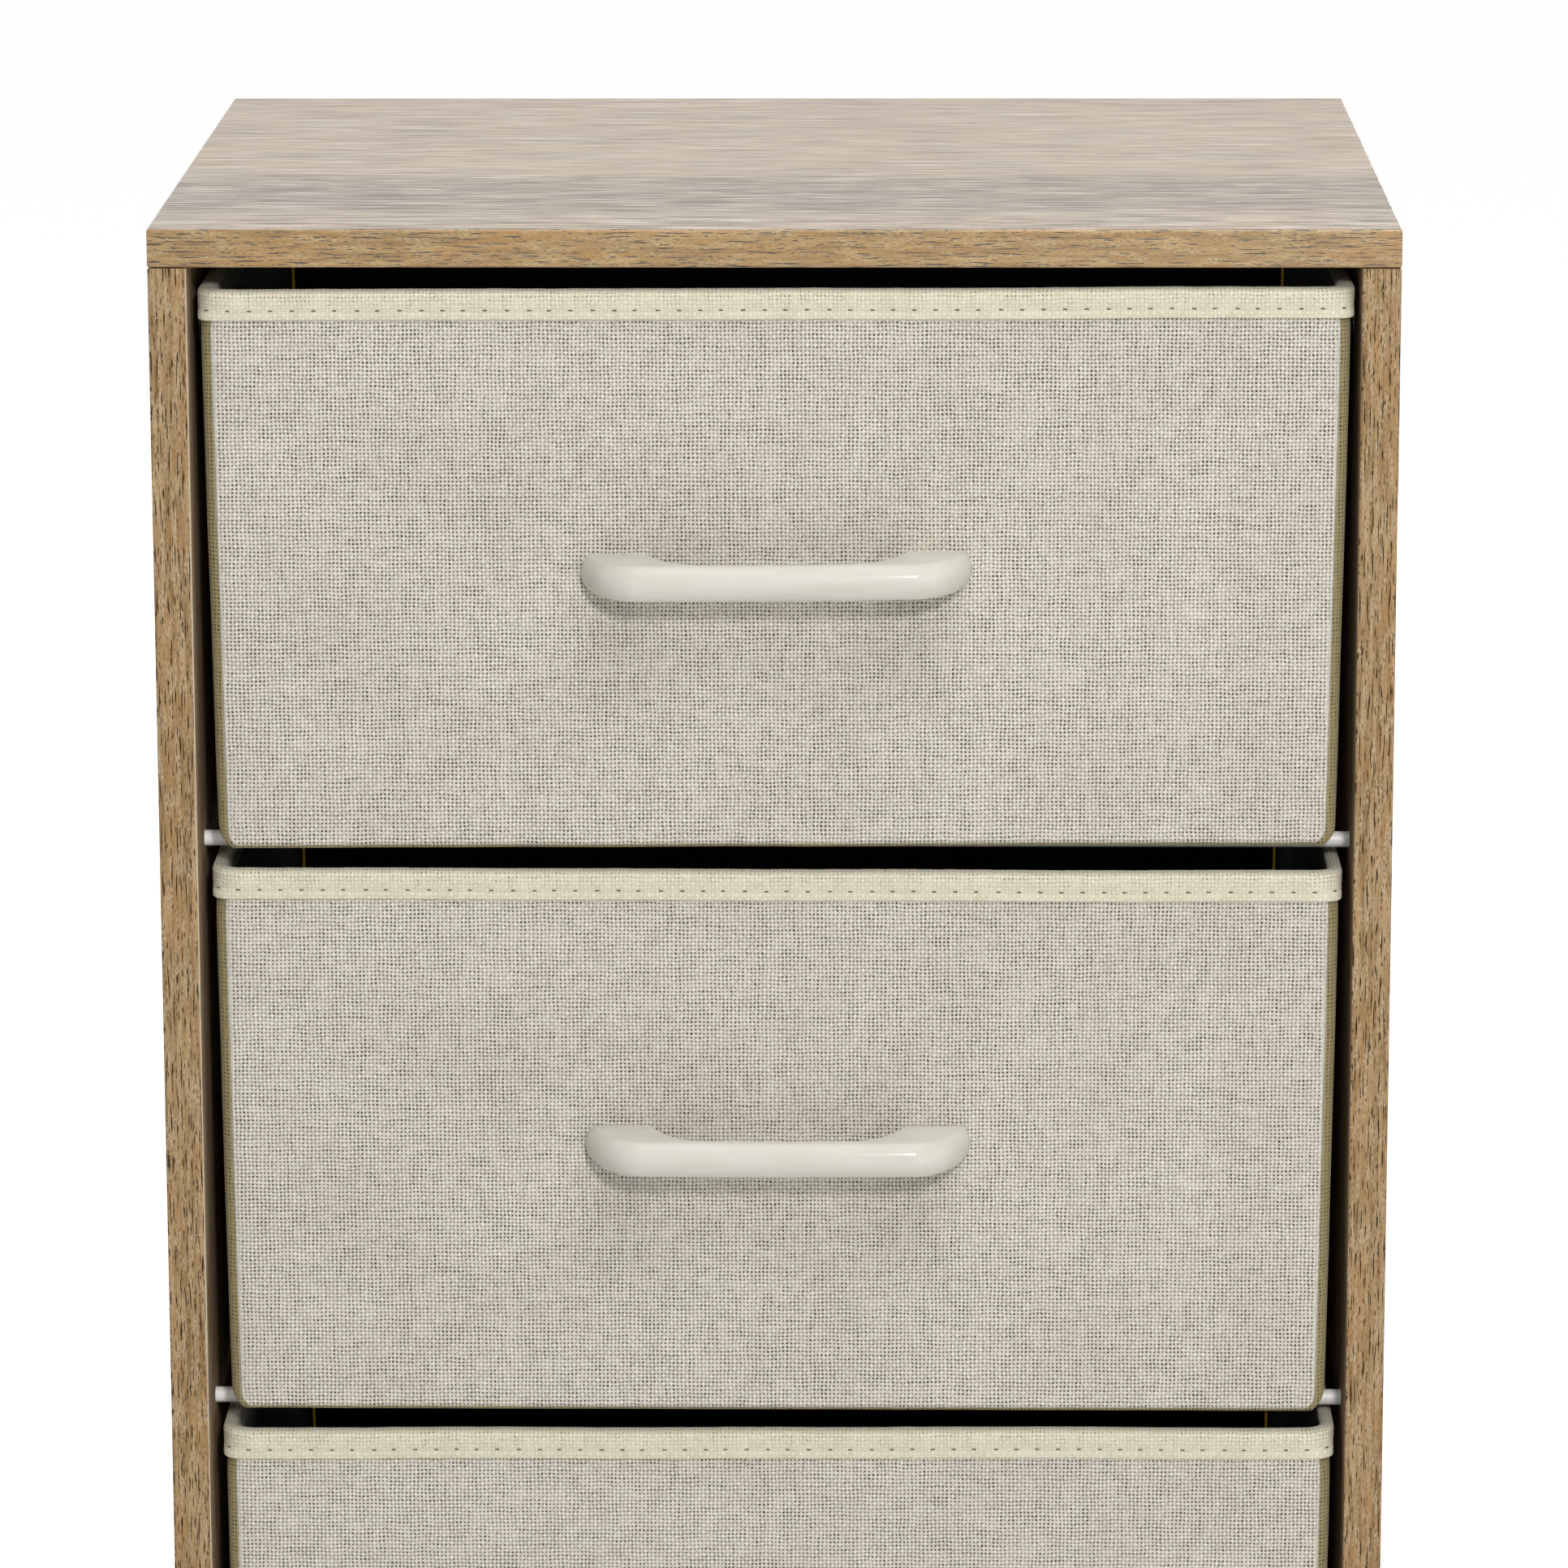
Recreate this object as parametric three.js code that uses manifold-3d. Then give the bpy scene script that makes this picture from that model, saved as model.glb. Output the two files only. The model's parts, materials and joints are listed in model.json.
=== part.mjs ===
// Narrow dresser: a wood-look board cabinet, open at the front and back, with
// sewn fabric drawers that sit on pairs of steel rods between the side panels.
// Millimetres, +Z up. The drawers face -Y and slide out along -Y.

import * as THREE from 'three';
import { mergeVertices } from 'three/addons/utils/BufferGeometryUtils.js';
import Module from 'manifold-3d';

const wasm = await Module();
wasm.setup();

// Cabinet boards
const topWidth = 385;
const topDepth = 300;
const topThickness = 12;
const panelThickness = 12;
const railThickness = 12;
const railHeight = 30;
const frontRailInset = 18;
const rearRailInset = 4;
const boardArris = 0.7;

// Rods that carry the drawers
const rodDiameter = 5;
const frontRodInset = 24;
const rearRodInset = 30;
const rodSocketDepth = 8;
const railToRod = 2;

// Drawers
const drawerCount = 3;
const drawerHeight = 176;
const drawerRearGap = 7.5;
const drawerSideClearance = 2.75;
const drawerRecess = 0.5;
const topClearance = 7;
const rimClearance = 2.7;
const wallTaper = 2.2;
const cornerRadius = 9;
const baseEdgeRadius = 2.5;
const fabricThickness = 0.8;
const liningThickness = 0.5;
const wallBoardThickness = 1.2;
const frontBoardThickness = 3;
const baseBoardThickness = 2.5;
const baseBoardClearance = 1;

// Binding sewn over the drawer's rim
const bindingDrop = 10.7;
const bindingThickness = 1.8;
const bindingTopThickness = 1.2;
const bindingInnerThickness = 0.8;
const bindingEdgeRadius = 0.6;

// Moulded pull handle
const handleFootOuterReach = 57.3;
const handleFootInnerReach = 40.5;
const handleEndLength = 15;
const handleProjection = 20.6;
const handleBow = 0.9;
const handleGripDepth = 19;
const handleHeight = 11;
const handleBulge = 2.8;
const handleScrewSpacing = 96;
const handleScrewDepth = 12;
const handleEndPowerShare = 1.7;
const handleGripPowerShare = 6;

// Handle screws
const screwDiameter = 4;
const screwHeadDiameter = 8;
const screwHeadHeight = 2.4;
const screwHeadEdge = 0.6;
const screwSlotWidth = 1;
const screwSlotLength = 4.4;
const screwSlotDepth = 1.2;

// Cam fittings between the top and the side panels
const camInset = 40;
const camDrop = 24;
const camDiameter = 12;
const camLength = 9.2;
const camRecess = 0.2;
const camCrossWidth = 1.3;
const camCrossLength = 6.4;
const camCrossDepth = 1.4;
const camBoltDiameter = 5;
const camBoltNeckDiameter = 4;
const camBoltHeadDiameter = 6;
const camBoltHeadHeight = 3;
const camBoltThreadLength = 9;
const camBoltCollarHeight = 2;

// Glued dowels between the rails and the side panels
const dowelDiameter = 6;
const dowelLength = 30;
const dowelPanelDepth = 8;
const dowelChamfer = 0.8;

// Nail-on glides under the side panels
const glideDiameter = 11;
const glideHeight = 3;
const glideEdgeRadius = 1;
const glideNailDiameter = 2;
const glideNailLength = 12;
const glideInset = 25;

// Fits
const seatGap = 0.3;
const cutOverrun = 1;

// Facet counts
const holeSides = 12;
const rodSides = 16;
const cornerSteps = 6;
const edgeSteps = 3;
const handleEndSteps = 8;
const handleBarSteps = 4;
const handleGripSteps = 16;
const handleSectionSteps = 6;

// Places worked out from the sizes above
const rodRadius = rodDiameter / 2;
const openingWidth = topWidth - 2 * panelThickness;
const panelCentreX = (topWidth - panelThickness) / 2;
const panelBottom = glideHeight + seatGap;
const lowestRodHeight = panelBottom + railHeight + railToRod + rodRadius;
const drawerPitch = drawerHeight + seatGap + rodDiameter + rimClearance;
const drawerDepth = topDepth - drawerRecess - drawerRearGap;
const topUnderside = drawerFloor(1) + drawerHeight + topClearance;
const panelHeight = topUnderside - seatGap - panelBottom;
const bindingStandoff = bindingThickness + seatGap;
const boxWidth = openingWidth - 2 * (drawerSideClearance + bindingStandoff);
const boxDepth = drawerDepth - 2 * bindingStandoff;
const boxHeight = drawerHeight - bindingTopThickness - seatGap;
const boardInset = fabricThickness + seatGap;
const sideLiningInset = boardInset + wallBoardThickness + seatGap;
const frontLiningInset = boardInset + frontBoardThickness + seatGap;
const sideInteriorInset = sideLiningInset + liningThickness;
const frontInteriorInset = frontLiningInset + liningThickness;
const liningFloor = fabricThickness + seatGap;
const liningEdgeRadius = baseEdgeRadius - liningFloor;
const boardFloor = baseEdgeRadius + seatGap;
const baseBoardFloor = liningFloor + liningThickness + seatGap;
const handleOverhang = handleProjection + handleBow + handleBulge + seatGap - bindingStandoff - drawerRecess;
const cabinetFront = -(topDepth - handleOverhang) / 2;

function drawerFloor(number) {
  return lowestRodHeight + rodRadius + seatGap + (drawerCount - number) * drawerPitch;
}

// Finishes seen in the photograph
const finishes = {
  topLaminate: { color: 0xc3b6a8, roughness: 0.5, metalness: 0 },
  sideLaminate: { color: 0xb0946f, roughness: 0.55, metalness: 0 },
  whiteCoating: { color: 0xe4e2da, roughness: 0.35, metalness: 0 },
  linen: { color: 0xc8c3b6, roughness: 0.95, metalness: 0 },
  binding: { color: 0xdedac8, roughness: 0.9, metalness: 0 },
  blackLining: { color: 0x0e0e0c, roughness: 0.95, metalness: 0 },
  greyboard: { color: 0x8f8779, roughness: 0.9, metalness: 0 },
  handlePlastic: { color: 0xe4e2d9, roughness: 0.25, metalness: 0 },
  zincSteel: { color: 0xb4b6b8, roughness: 0.35, metalness: 1 },
  beechDowel: { color: 0xcfae82, roughness: 0.7, metalness: 0 },
  glidePlastic: { color: 0x3a3734, roughness: 0.5, metalness: 0 },
};

function piece(name, geometry, finish) {
  const mesh = new THREE.Mesh(geometry, new THREE.MeshStandardMaterial(finish));
  mesh.name = name;
  return mesh;
}

// Closed solid from its welded points and faces
function weldedSolid(geometry) {
  const bare = geometry.clone();
  bare.deleteAttribute('normal');
  bare.deleteAttribute('uv');
  const welded = mergeVertices(bare);
  const vertProperties = new Float32Array(welded.getAttribute('position').array);
  const triVerts = new Uint32Array(welded.getIndex().array);
  return new wasm.Manifold(new wasm.Mesh({ numProp: 3, vertProperties, triVerts }));
}

// A body with the given tools cut out of it
function cutOut(body, tools) {
  let solid = weldedSolid(body);
  for (const tool of tools) {
    solid = solid.subtract(weldedSolid(tool));
  }
  const result = solid.getMesh();
  const geometry = new THREE.BufferGeometry();
  geometry.setAttribute('position', new THREE.BufferAttribute(result.vertProperties, 3));
  geometry.setIndex(new THREE.BufferAttribute(result.triVerts, 1));
  geometry.computeVertexNormals();
  return geometry;
}

// Skins a stack of rings that have equal point counts, running anticlockwise
// seen from above. The end rings are capped unless the stack joins up.
function loft(rings, joinsUp = false) {
  const count = rings[0].length;
  const positions = rings.flat().flatMap((point) => point.toArray());
  const faces = [];
  const bands = joinsUp ? rings.length : rings.length - 1;
  for (let band = 0; band < bands; band += 1) {
    const lower = band * count;
    const upper = ((band + 1) % rings.length) * count;
    for (let index = 0; index < count; index += 1) {
      const next = (index + 1) % count;
      faces.push(lower + index, lower + next, upper + next);
      faces.push(lower + index, upper + next, upper + index);
    }
  }
  if (!joinsUp) {
    const outline = (ring) => ring.map((point) => new THREE.Vector2(point.x, point.y));
    const last = (rings.length - 1) * count;
    for (const [a, b, c] of THREE.ShapeUtils.triangulateShape(outline(rings[0]), [])) {
      faces.push(a, c, b);
    }
    for (const [a, b, c] of THREE.ShapeUtils.triangulateShape(outline(rings.at(-1)), [])) {
      faces.push(last + a, last + b, last + c);
    }
  }
  const geometry = new THREE.BufferGeometry();
  geometry.setAttribute('position', new THREE.Float32BufferAttribute(positions, 3));
  geometry.setIndex(faces);
  geometry.computeVertexNormals();
  return geometry;
}

// Round bar from start along one axis, for rods and for the holes they fit
function roundBar(diameter, length, axis, start, sides) {
  const geometry = new THREE.CylinderGeometry(diameter / 2, diameter / 2, length, sides);
  if (axis === 'x') geometry.rotateZ(Math.PI / 2);
  if (axis === 'z') geometry.rotateX(Math.PI / 2);
  const centre = start.clone();
  centre[axis] += length / 2;
  geometry.translate(centre.x, centre.y, centre.z);
  return geometry;
}

function block(width, depth, height, x, y, z) {
  const geometry = new THREE.BoxGeometry(width, depth, height);
  geometry.translate(x, y, z);
  return geometry;
}

// Laminated board with softened arrises round both faces, centred on 0
function laminatedBoard(length, width, thickness) {
  const halfLength = length / 2 - boardArris;
  const halfWidth = width / 2 - boardArris;
  const outline = new THREE.Shape();
  outline.moveTo(-halfLength, -halfWidth);
  outline.lineTo(halfLength, -halfWidth);
  outline.lineTo(halfLength, halfWidth);
  outline.lineTo(-halfLength, halfWidth);
  outline.closePath();
  const geometry = new THREE.ExtrudeGeometry(outline, {
    depth: thickness - 2 * boardArris,
    bevelSize: boardArris,
    bevelThickness: boardArris,
    bevelSegments: edgeSteps,
  });
  geometry.translate(0, 0, boardArris - thickness / 2);
  return geometry;
}

// Depth places shared by the fittings and the holes they sit in
const camPlaces = { front: camInset, rear: topDepth - camInset };
const glidePlaces = { front: glideInset, rear: topDepth - glideInset };
const railPlaces = {
  front: frontRailInset + railThickness / 2,
  rear: topDepth - rearRailInset - railThickness / 2,
};
const rodPlaces = { front: frontRodInset, rear: topDepth - rearRodInset };
const railCentreHeight = panelBottom + railHeight / 2;
const camHeight = topUnderside - camDrop;
const sides = { left: -1, right: 1 };

// Top panel, with blind holes for the cam bolts in its underside
function topPanel() {
  const board = laminatedBoard(topWidth, topDepth, topThickness);
  board.translate(0, topDepth / 2, topUnderside + topThickness / 2);
  const boltHoles = [];
  for (const side of Object.values(sides)) {
    for (const depthPlace of Object.values(camPlaces)) {
      const start = new THREE.Vector3(side * panelCentreX, depthPlace, topUnderside - cutOverrun);
      const depth = camBoltThreadLength + seatGap + cutOverrun;
      boltHoles.push(roundBar(camBoltDiameter + 2 * seatGap, depth, 'z', start, holeSides));
    }
  }
  return cutOut(board, boltHoles);
}

// Start of a bar along X that enters a side panel's inner face by a depth
function panelEntry(side, depth, depthPlace, height) {
  const innerFace = openingWidth / 2;
  const lowX = side > 0 ? innerFace - cutOverrun : -innerFace - depth;
  return new THREE.Vector3(lowX, depthPlace, height);
}

// Side panel, with rod sockets, dowel holes, cam pockets and glide nail holes
function sidePanel(side) {
  const board = laminatedBoard(panelHeight, topDepth, panelThickness);
  board.rotateY(Math.PI / 2);
  board.translate(side * panelCentreX, topDepth / 2, panelBottom + panelHeight / 2);
  const tools = [];
  const bore = (diameter, depth, depthPlace, height) => {
    const start = panelEntry(side, depth, depthPlace, height);
    tools.push(roundBar(diameter, depth + cutOverrun, 'x', start, holeSides));
  };
  for (const depthPlace of Object.values(rodPlaces)) {
    for (let number = 1; number <= drawerCount; number += 1) {
      bore(rodDiameter + 2 * seatGap, rodSocketDepth, depthPlace, rodHeight(number));
    }
  }
  for (const depthPlace of Object.values(railPlaces)) {
    bore(dowelDiameter + 2 * seatGap, dowelPanelDepth + seatGap, depthPlace, railCentreHeight);
  }
  for (const depthPlace of Object.values(camPlaces)) {
    bore(camDiameter + 2 * seatGap, camRecess + camLength + seatGap, depthPlace, camHeight);
    const start = new THREE.Vector3(side * panelCentreX, depthPlace, camHeight);
    const length = camDrop + cutOverrun;
    tools.push(roundBar(camBoltHeadDiameter + 2 * seatGap, length, 'z', start, holeSides));
  }
  for (const depthPlace of Object.values(glidePlaces)) {
    const start = new THREE.Vector3(side * panelCentreX, depthPlace, panelBottom - cutOverrun);
    const length = glideNailLength + seatGap + cutOverrun;
    tools.push(roundBar(glideNailDiameter + 2 * seatGap, length, 'z', start, holeSides));
  }
  return cutOut(board, tools);
}

// Bottom rail between the side panels, with a dowel hole in each end
function bottomRail(depthPlace) {
  const length = openingWidth - 2 * seatGap;
  const board = laminatedBoard(length, railHeight, railThickness);
  board.rotateX(Math.PI / 2);
  board.translate(0, depthPlace, railCentreHeight);
  const holeDepth = dowelLength - dowelPanelDepth;
  const holes = Object.values(sides).map((side) => {
    const lowX = side > 0 ? length / 2 - holeDepth : -length / 2 - cutOverrun;
    const start = new THREE.Vector3(lowX, depthPlace, railCentreHeight);
    return roundBar(dowelDiameter + 2 * seatGap, holeDepth + cutOverrun, 'x', start, holeSides);
  });
  return cutOut(board, holes);
}

// Height of the rods under a drawer
function rodHeight(number) {
  return drawerFloor(number) - seatGap - rodRadius;
}

function rod(depthPlace, number) {
  const length = openingWidth + 2 * (rodSocketDepth - seatGap);
  const start = new THREE.Vector3(-length / 2, depthPlace, rodHeight(number));
  return roundBar(rodDiameter, length, 'x', start, rodSides);
}

// Solid of revolution about Z from its half section, listed upwards
function turned(profile, segments) {
  const geometry = new THREE.LatheGeometry(
    profile.map(([radius, height]) => new THREE.Vector2(radius, height)),
    segments,
  );
  geometry.rotateX(Math.PI / 2);
  return geometry;
}

// Bolt that hangs from the top panel into a cam, measured up from its tip
function camBolt() {
  const neckTop = camDrop - camBoltCollarHeight;
  const threadBottom = camDrop;
  const tip = -camBoltHeadHeight / 2;
  const neckBottom = -tip;
  return turned([
    [0, tip],
    [camBoltHeadDiameter / 2, tip],
    [camBoltHeadDiameter / 2, neckBottom],
    [camBoltNeckDiameter / 2, neckBottom],
    [camBoltNeckDiameter / 2, neckTop],
    [camBoltHeadDiameter / 2, neckTop],
    [camBoltHeadDiameter / 2, threadBottom],
    [camBoltDiameter / 2, threadBottom],
    [camBoltDiameter / 2, threadBottom + camBoltThreadLength],
    [0, threadBottom + camBoltThreadLength],
  ], holeSides);
}

// Cam that turns in the side panel's pocket: a disc with a cross recess, and a
// body with a slot for the bolt's head. Its disc faces towards -X from 0.
function camLock() {
  const disc = roundBar(camDiameter, camLength, 'x', new THREE.Vector3(), rodSides);
  const slotWidth = camBoltHeadDiameter + 2 * seatGap;
  const boltDepth = panelThickness / 2 - camRecess;
  const slotStart = boltDepth - slotWidth / 2;
  const slotLength = camLength - slotStart + cutOverrun;
  const slotDrop = camBoltHeadHeight / 2 + seatGap;
  const slotHeight = camDiameter / 2 + slotDrop + cutOverrun;
  const slotMiddle = slotHeight / 2 - slotDrop;
  const slot = block(slotLength, slotWidth, slotHeight, slotStart + slotLength / 2, 0, slotMiddle);
  const recess = camCrossDepth + cutOverrun;
  const recessMiddle = recess / 2 - cutOverrun;
  const upright = block(recess, camCrossWidth, camCrossLength, recessMiddle, 0, 0);
  const level = block(recess, camCrossLength, camCrossWidth, recessMiddle, 0, 0);
  return cutOut(disc, [slot, upright, level]);
}

// Dowel with chamfered ends, centred on 0, along Z
function dowel() {
  const half = dowelLength / 2 - seatGap;
  const radius = dowelDiameter / 2;
  return turned([
    [0, -half],
    [radius - dowelChamfer, -half],
    [radius, -half + dowelChamfer],
    [radius, half - dowelChamfer],
    [radius - dowelChamfer, half],
    [0, half],
  ], holeSides);
}

// Glide that the cabinet stands on: a rounded disc with a nail above it
function glide() {
  const radius = glideDiameter / 2;
  const profile = [[0, 0]];
  for (let step = 0; step <= edgeSteps; step += 1) {
    const angle = (step / edgeSteps) * (Math.PI / 2);
    const out = radius - glideEdgeRadius * (1 - Math.sin(angle));
    profile.push([out, glideEdgeRadius * (1 - Math.cos(angle))]);
  }
  profile.push([radius, glideHeight]);
  profile.push([glideNailDiameter / 2, glideHeight]);
  profile.push([glideNailDiameter / 2, panelBottom + glideNailLength - seatGap]);
  profile.push([0, panelBottom + glideNailLength - seatGap]);
  return turned(profile, rodSides);
}

// Rounded rectangle at a height in the drawer, set in from the fabric's outer
// face. The side and back walls lean in towards the base; the front is upright.
function wallRing(sideInset, frontInset, height) {
  const lean = wallTaper * (1 - height / boxHeight);
  const halfWidth = boxWidth / 2 - lean - sideInset;
  const front = frontInset;
  const back = boxDepth - lean - sideInset;
  const radius = Math.max(cornerRadius - sideInset, seatGap);
  const corners = [
    [halfWidth - radius, front + radius, -Math.PI / 2],
    [halfWidth - radius, back - radius, 0],
    [-halfWidth + radius, back - radius, Math.PI / 2],
    [-halfWidth + radius, front + radius, Math.PI],
  ];
  const ring = [];
  for (const [x, y, start] of corners) {
    for (let step = 0; step <= cornerSteps; step += 1) {
      const angle = start + (step / cornerSteps) * (Math.PI / 2);
      ring.push(new THREE.Vector3(x + radius * Math.cos(angle), y + radius * Math.sin(angle), height));
    }
  }
  return ring;
}

// Open-topped box of one cloth thickness, with a rounded edge round its base
function clothBox(sideInset, frontInset, floor, thickness, edgeRadius) {
  const rings = [];
  const addWall = (inset, base, radius, steps) => {
    for (const step of steps) {
      const angle = (step / edgeSteps) * (Math.PI / 2);
      const tuck = radius * (1 - Math.sin(angle));
      const height = base + radius * (1 - Math.cos(angle));
      rings.push(wallRing(sideInset + inset + tuck, frontInset + inset + tuck, height));
    }
  };
  const upwards = Array.from({ length: edgeSteps + 1 }, (unused, step) => step);
  addWall(0, floor, edgeRadius, upwards);
  rings.push(wallRing(sideInset, frontInset, boxHeight));
  rings.push(wallRing(sideInset + thickness, frontInset + thickness, boxHeight));
  addWall(thickness, floor + thickness, edgeRadius - thickness / 2, upwards.reverse());
  return loft(rings);
}

// Round holes for the two handle screws through the drawer's front layers
function screwHoles(diameter, start, length) {
  return Object.values(sides).map((side) => {
    const point = new THREE.Vector3(side * handleScrewSpacing / 2, start, drawerHeight / 2);
    return roundBar(diameter, length, 'y', point, holeSides);
  });
}

const screwHoleDiameter = screwDiameter + 2 * seatGap;

function fabricBox() {
  const box = clothBox(0, 0, 0, fabricThickness, baseEdgeRadius);
  const holes = screwHoles(screwHoleDiameter, -cutOverrun, fabricThickness + 2 * cutOverrun);
  return cutOut(box, holes);
}

function lining() {
  const box = clothBox(sideLiningInset, frontLiningInset, liningFloor, liningThickness, liningEdgeRadius);
  const start = frontLiningInset - seatGap / 2;
  const holes = screwHoles(screwHoleDiameter, start, liningThickness + seatGap);
  return cutOut(box, holes);
}

// Binding: an upside-down channel over the rim of the fabric and its lining
function rimBinding() {
  const top = drawerHeight;
  const ceiling = boxHeight + seatGap;
  const bottom = drawerHeight - bindingDrop;
  const outer = -bindingStandoff;
  const innerGap = seatGap + bindingInnerThickness;
  const layer = (inset, frontInset, height) => {
    const radiusRing = wallRing(inset, frontInset, boxHeight);
    return radiusRing.map((point) => new THREE.Vector3(point.x, point.y, height));
  };
  return loft([
    layer(outer, outer, bottom),
    layer(outer, outer, top - bindingEdgeRadius),
    layer(outer + bindingEdgeRadius, outer + bindingEdgeRadius, top),
    layer(sideInteriorInset + innerGap, frontInteriorInset + innerGap, top),
    layer(sideInteriorInset + innerGap, frontInteriorInset + innerGap, bottom),
    layer(sideInteriorInset + seatGap, frontInteriorInset + seatGap, bottom),
    layer(sideInteriorInset + seatGap, frontInteriorInset + seatGap, ceiling),
    layer(-seatGap, -seatGap, ceiling),
    layer(-seatGap, -seatGap, bottom),
  ], true);
}

// Flat stiffener in a wall, from the outline of its base and of its top
function wallBoard(corners) {
  const top = boxHeight - seatGap;
  const ring = (height) => {
    const lean = wallTaper * (1 - height / boxHeight);
    return corners(lean).map(([x, y]) => new THREE.Vector3(x, y, height));
  };
  return loft([ring(boardFloor), ring(top)]);
}

function frontBoard() {
  const near = boardInset;
  const far = boardInset + frontBoardThickness;
  const board = wallBoard((lean) => {
    const halfWidth = boxWidth / 2 - lean - cornerRadius;
    return [[-halfWidth, near], [halfWidth, near], [halfWidth, far], [-halfWidth, far]];
  });
  const holes = screwHoles(screwHoleDiameter, near - cutOverrun, frontBoardThickness + 2 * cutOverrun);
  return cutOut(board, holes);
}

function backBoard() {
  return wallBoard((lean) => {
    const halfWidth = boxWidth / 2 - lean - cornerRadius;
    const far = boxDepth - lean - boardInset;
    const near = far - wallBoardThickness;
    return [[-halfWidth, near], [halfWidth, near], [halfWidth, far], [-halfWidth, far]];
  });
}

function sideBoard(side) {
  return wallBoard((lean) => {
    const outside = side * (boxWidth / 2 - lean - boardInset);
    const inside = outside - side * wallBoardThickness;
    const lowX = Math.min(outside, inside);
    const highX = Math.max(outside, inside);
    const near = cornerRadius;
    const far = boxDepth - lean - cornerRadius;
    return [[lowX, near], [highX, near], [highX, far], [lowX, far]];
  });
}

// Loose board that keeps the drawer's floor flat
function baseBoard() {
  const inset = sideInteriorInset + baseBoardClearance;
  const frontInset = frontInteriorInset + screwHeadHeight + baseBoardClearance;
  const top = baseBoardFloor + baseBoardThickness;
  const ring = (height) => wallRing(inset, frontInset, baseBoardFloor)
    .map((point) => new THREE.Vector3(point.x, point.y, height));
  return loft([ring(baseBoardFloor), ring(top)]);
}

// Plan outline of the handle at one level of its section. The bar and both
// ends are one curve that swells by the bulge; the grip hollow stays as it is.
function handleOutline(bulge, height) {
  const barReach = handleFootOuterReach - handleEndLength;
  const power = 2 / handleEndPowerShare;
  const points = [];
  const addEnd = (side, steps) => {
    for (const step of steps) {
      const angle = (step / handleEndSteps) * (Math.PI / 2);
      const x = barReach + (handleEndLength + bulge) * Math.cos(angle) ** power;
      const reach = (handleProjection + bulge) * Math.sin(angle) ** power;
      points.push([side * x, reach]);
    }
  };
  const endSteps = Array.from({ length: handleEndSteps }, (unused, step) => step);
  addEnd(-1, endSteps);
  for (let step = 0; step <= handleBarSteps; step += 1) {
    const share = 2 * step / handleBarSteps - 1;
    points.push([share * barReach, handleProjection + bulge + handleBow * (1 - share ** 2)]);
  }
  addEnd(1, endSteps.reverse());
  for (let step = 0; step <= handleGripSteps; step += 1) {
    const share = Math.cos((step / handleGripSteps) * Math.PI);
    const reach = handleGripDepth * (1 - Math.abs(share) ** handleGripPowerShare);
    points.push([share * handleFootInnerReach, reach]);
  }
  return points.map(([x, reach]) => new THREE.Vector3(x, -reach, height));
}

// Pull handle with flat top and bottom edges and a crowned front, its feet on
// the plane y = 0 and its bar towards -Y
function handle() {
  const halfHeight = handleHeight / 2;
  const crownRadius = (halfHeight ** 2 + handleBulge ** 2) / (2 * handleBulge);
  const levels = [];
  for (let step = 0; step <= handleSectionSteps; step += 1) {
    const height = -halfHeight * Math.cos((step / handleSectionSteps) * Math.PI);
    const bulge = Math.sqrt(crownRadius ** 2 - height ** 2) - (crownRadius - handleBulge);
    levels.push(handleOutline(bulge, height));
  }
  const holes = Object.values(sides).map((side) => {
    const start = new THREE.Vector3(side * handleScrewSpacing / 2, -handleScrewDepth, 0);
    return roundBar(screwHoleDiameter, handleScrewDepth + cutOverrun, 'y', start, holeSides);
  });
  return cutOut(loft(levels), holes);
}

// Screw that holds the handle from inside the drawer, its head from y = 0 back
function handleScrew() {
  const frontLayers = frontInteriorInset + seatGap + seatGap;
  const shankLength = frontLayers + handleScrewDepth - seatGap;
  const radius = screwHeadDiameter / 2;
  const screw = turned([
    [0, -shankLength],
    [screwDiameter / 2, -shankLength],
    [screwDiameter / 2, 0],
    [radius, 0],
    [radius, screwHeadHeight - screwHeadEdge],
    [radius - screwHeadEdge, screwHeadHeight],
    [0, screwHeadHeight],
  ], rodSides);
  screw.rotateX(-Math.PI / 2);
  const slotReach = screwSlotDepth + cutOverrun;
  const slotMiddle = screwHeadHeight - screwSlotDepth + slotReach / 2;
  const level = block(screwSlotLength, slotReach, screwSlotWidth, 0, slotMiddle, 0);
  const upright = block(screwSlotWidth, slotReach, screwSlotLength, 0, slotMiddle, 0);
  return cutOut(screw, [level, upright]);
}

// Cabinet, in a frame whose y = 0 is the plane of the board fronts
function cabinet() {
  const group = new THREE.Group();
  group.add(piece('top_panel', topPanel(), finishes.topLaminate));
  for (const [sideName, side] of Object.entries(sides)) {
    group.add(piece(`${sideName}_side_panel`, sidePanel(side), finishes.sideLaminate));
  }
  for (const [end, depthPlace] of Object.entries(railPlaces)) {
    group.add(piece(`${end}_bottom_rail`, bottomRail(depthPlace), finishes.sideLaminate));
  }
  for (const [end, depthPlace] of Object.entries(rodPlaces)) {
    for (let number = 1; number <= drawerCount; number += 1) {
      group.add(piece(`${end}_rod_${number}`, rod(depthPlace, number), finishes.whiteCoating));
    }
  }
  group.add(fittings());
  return group;
}

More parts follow.
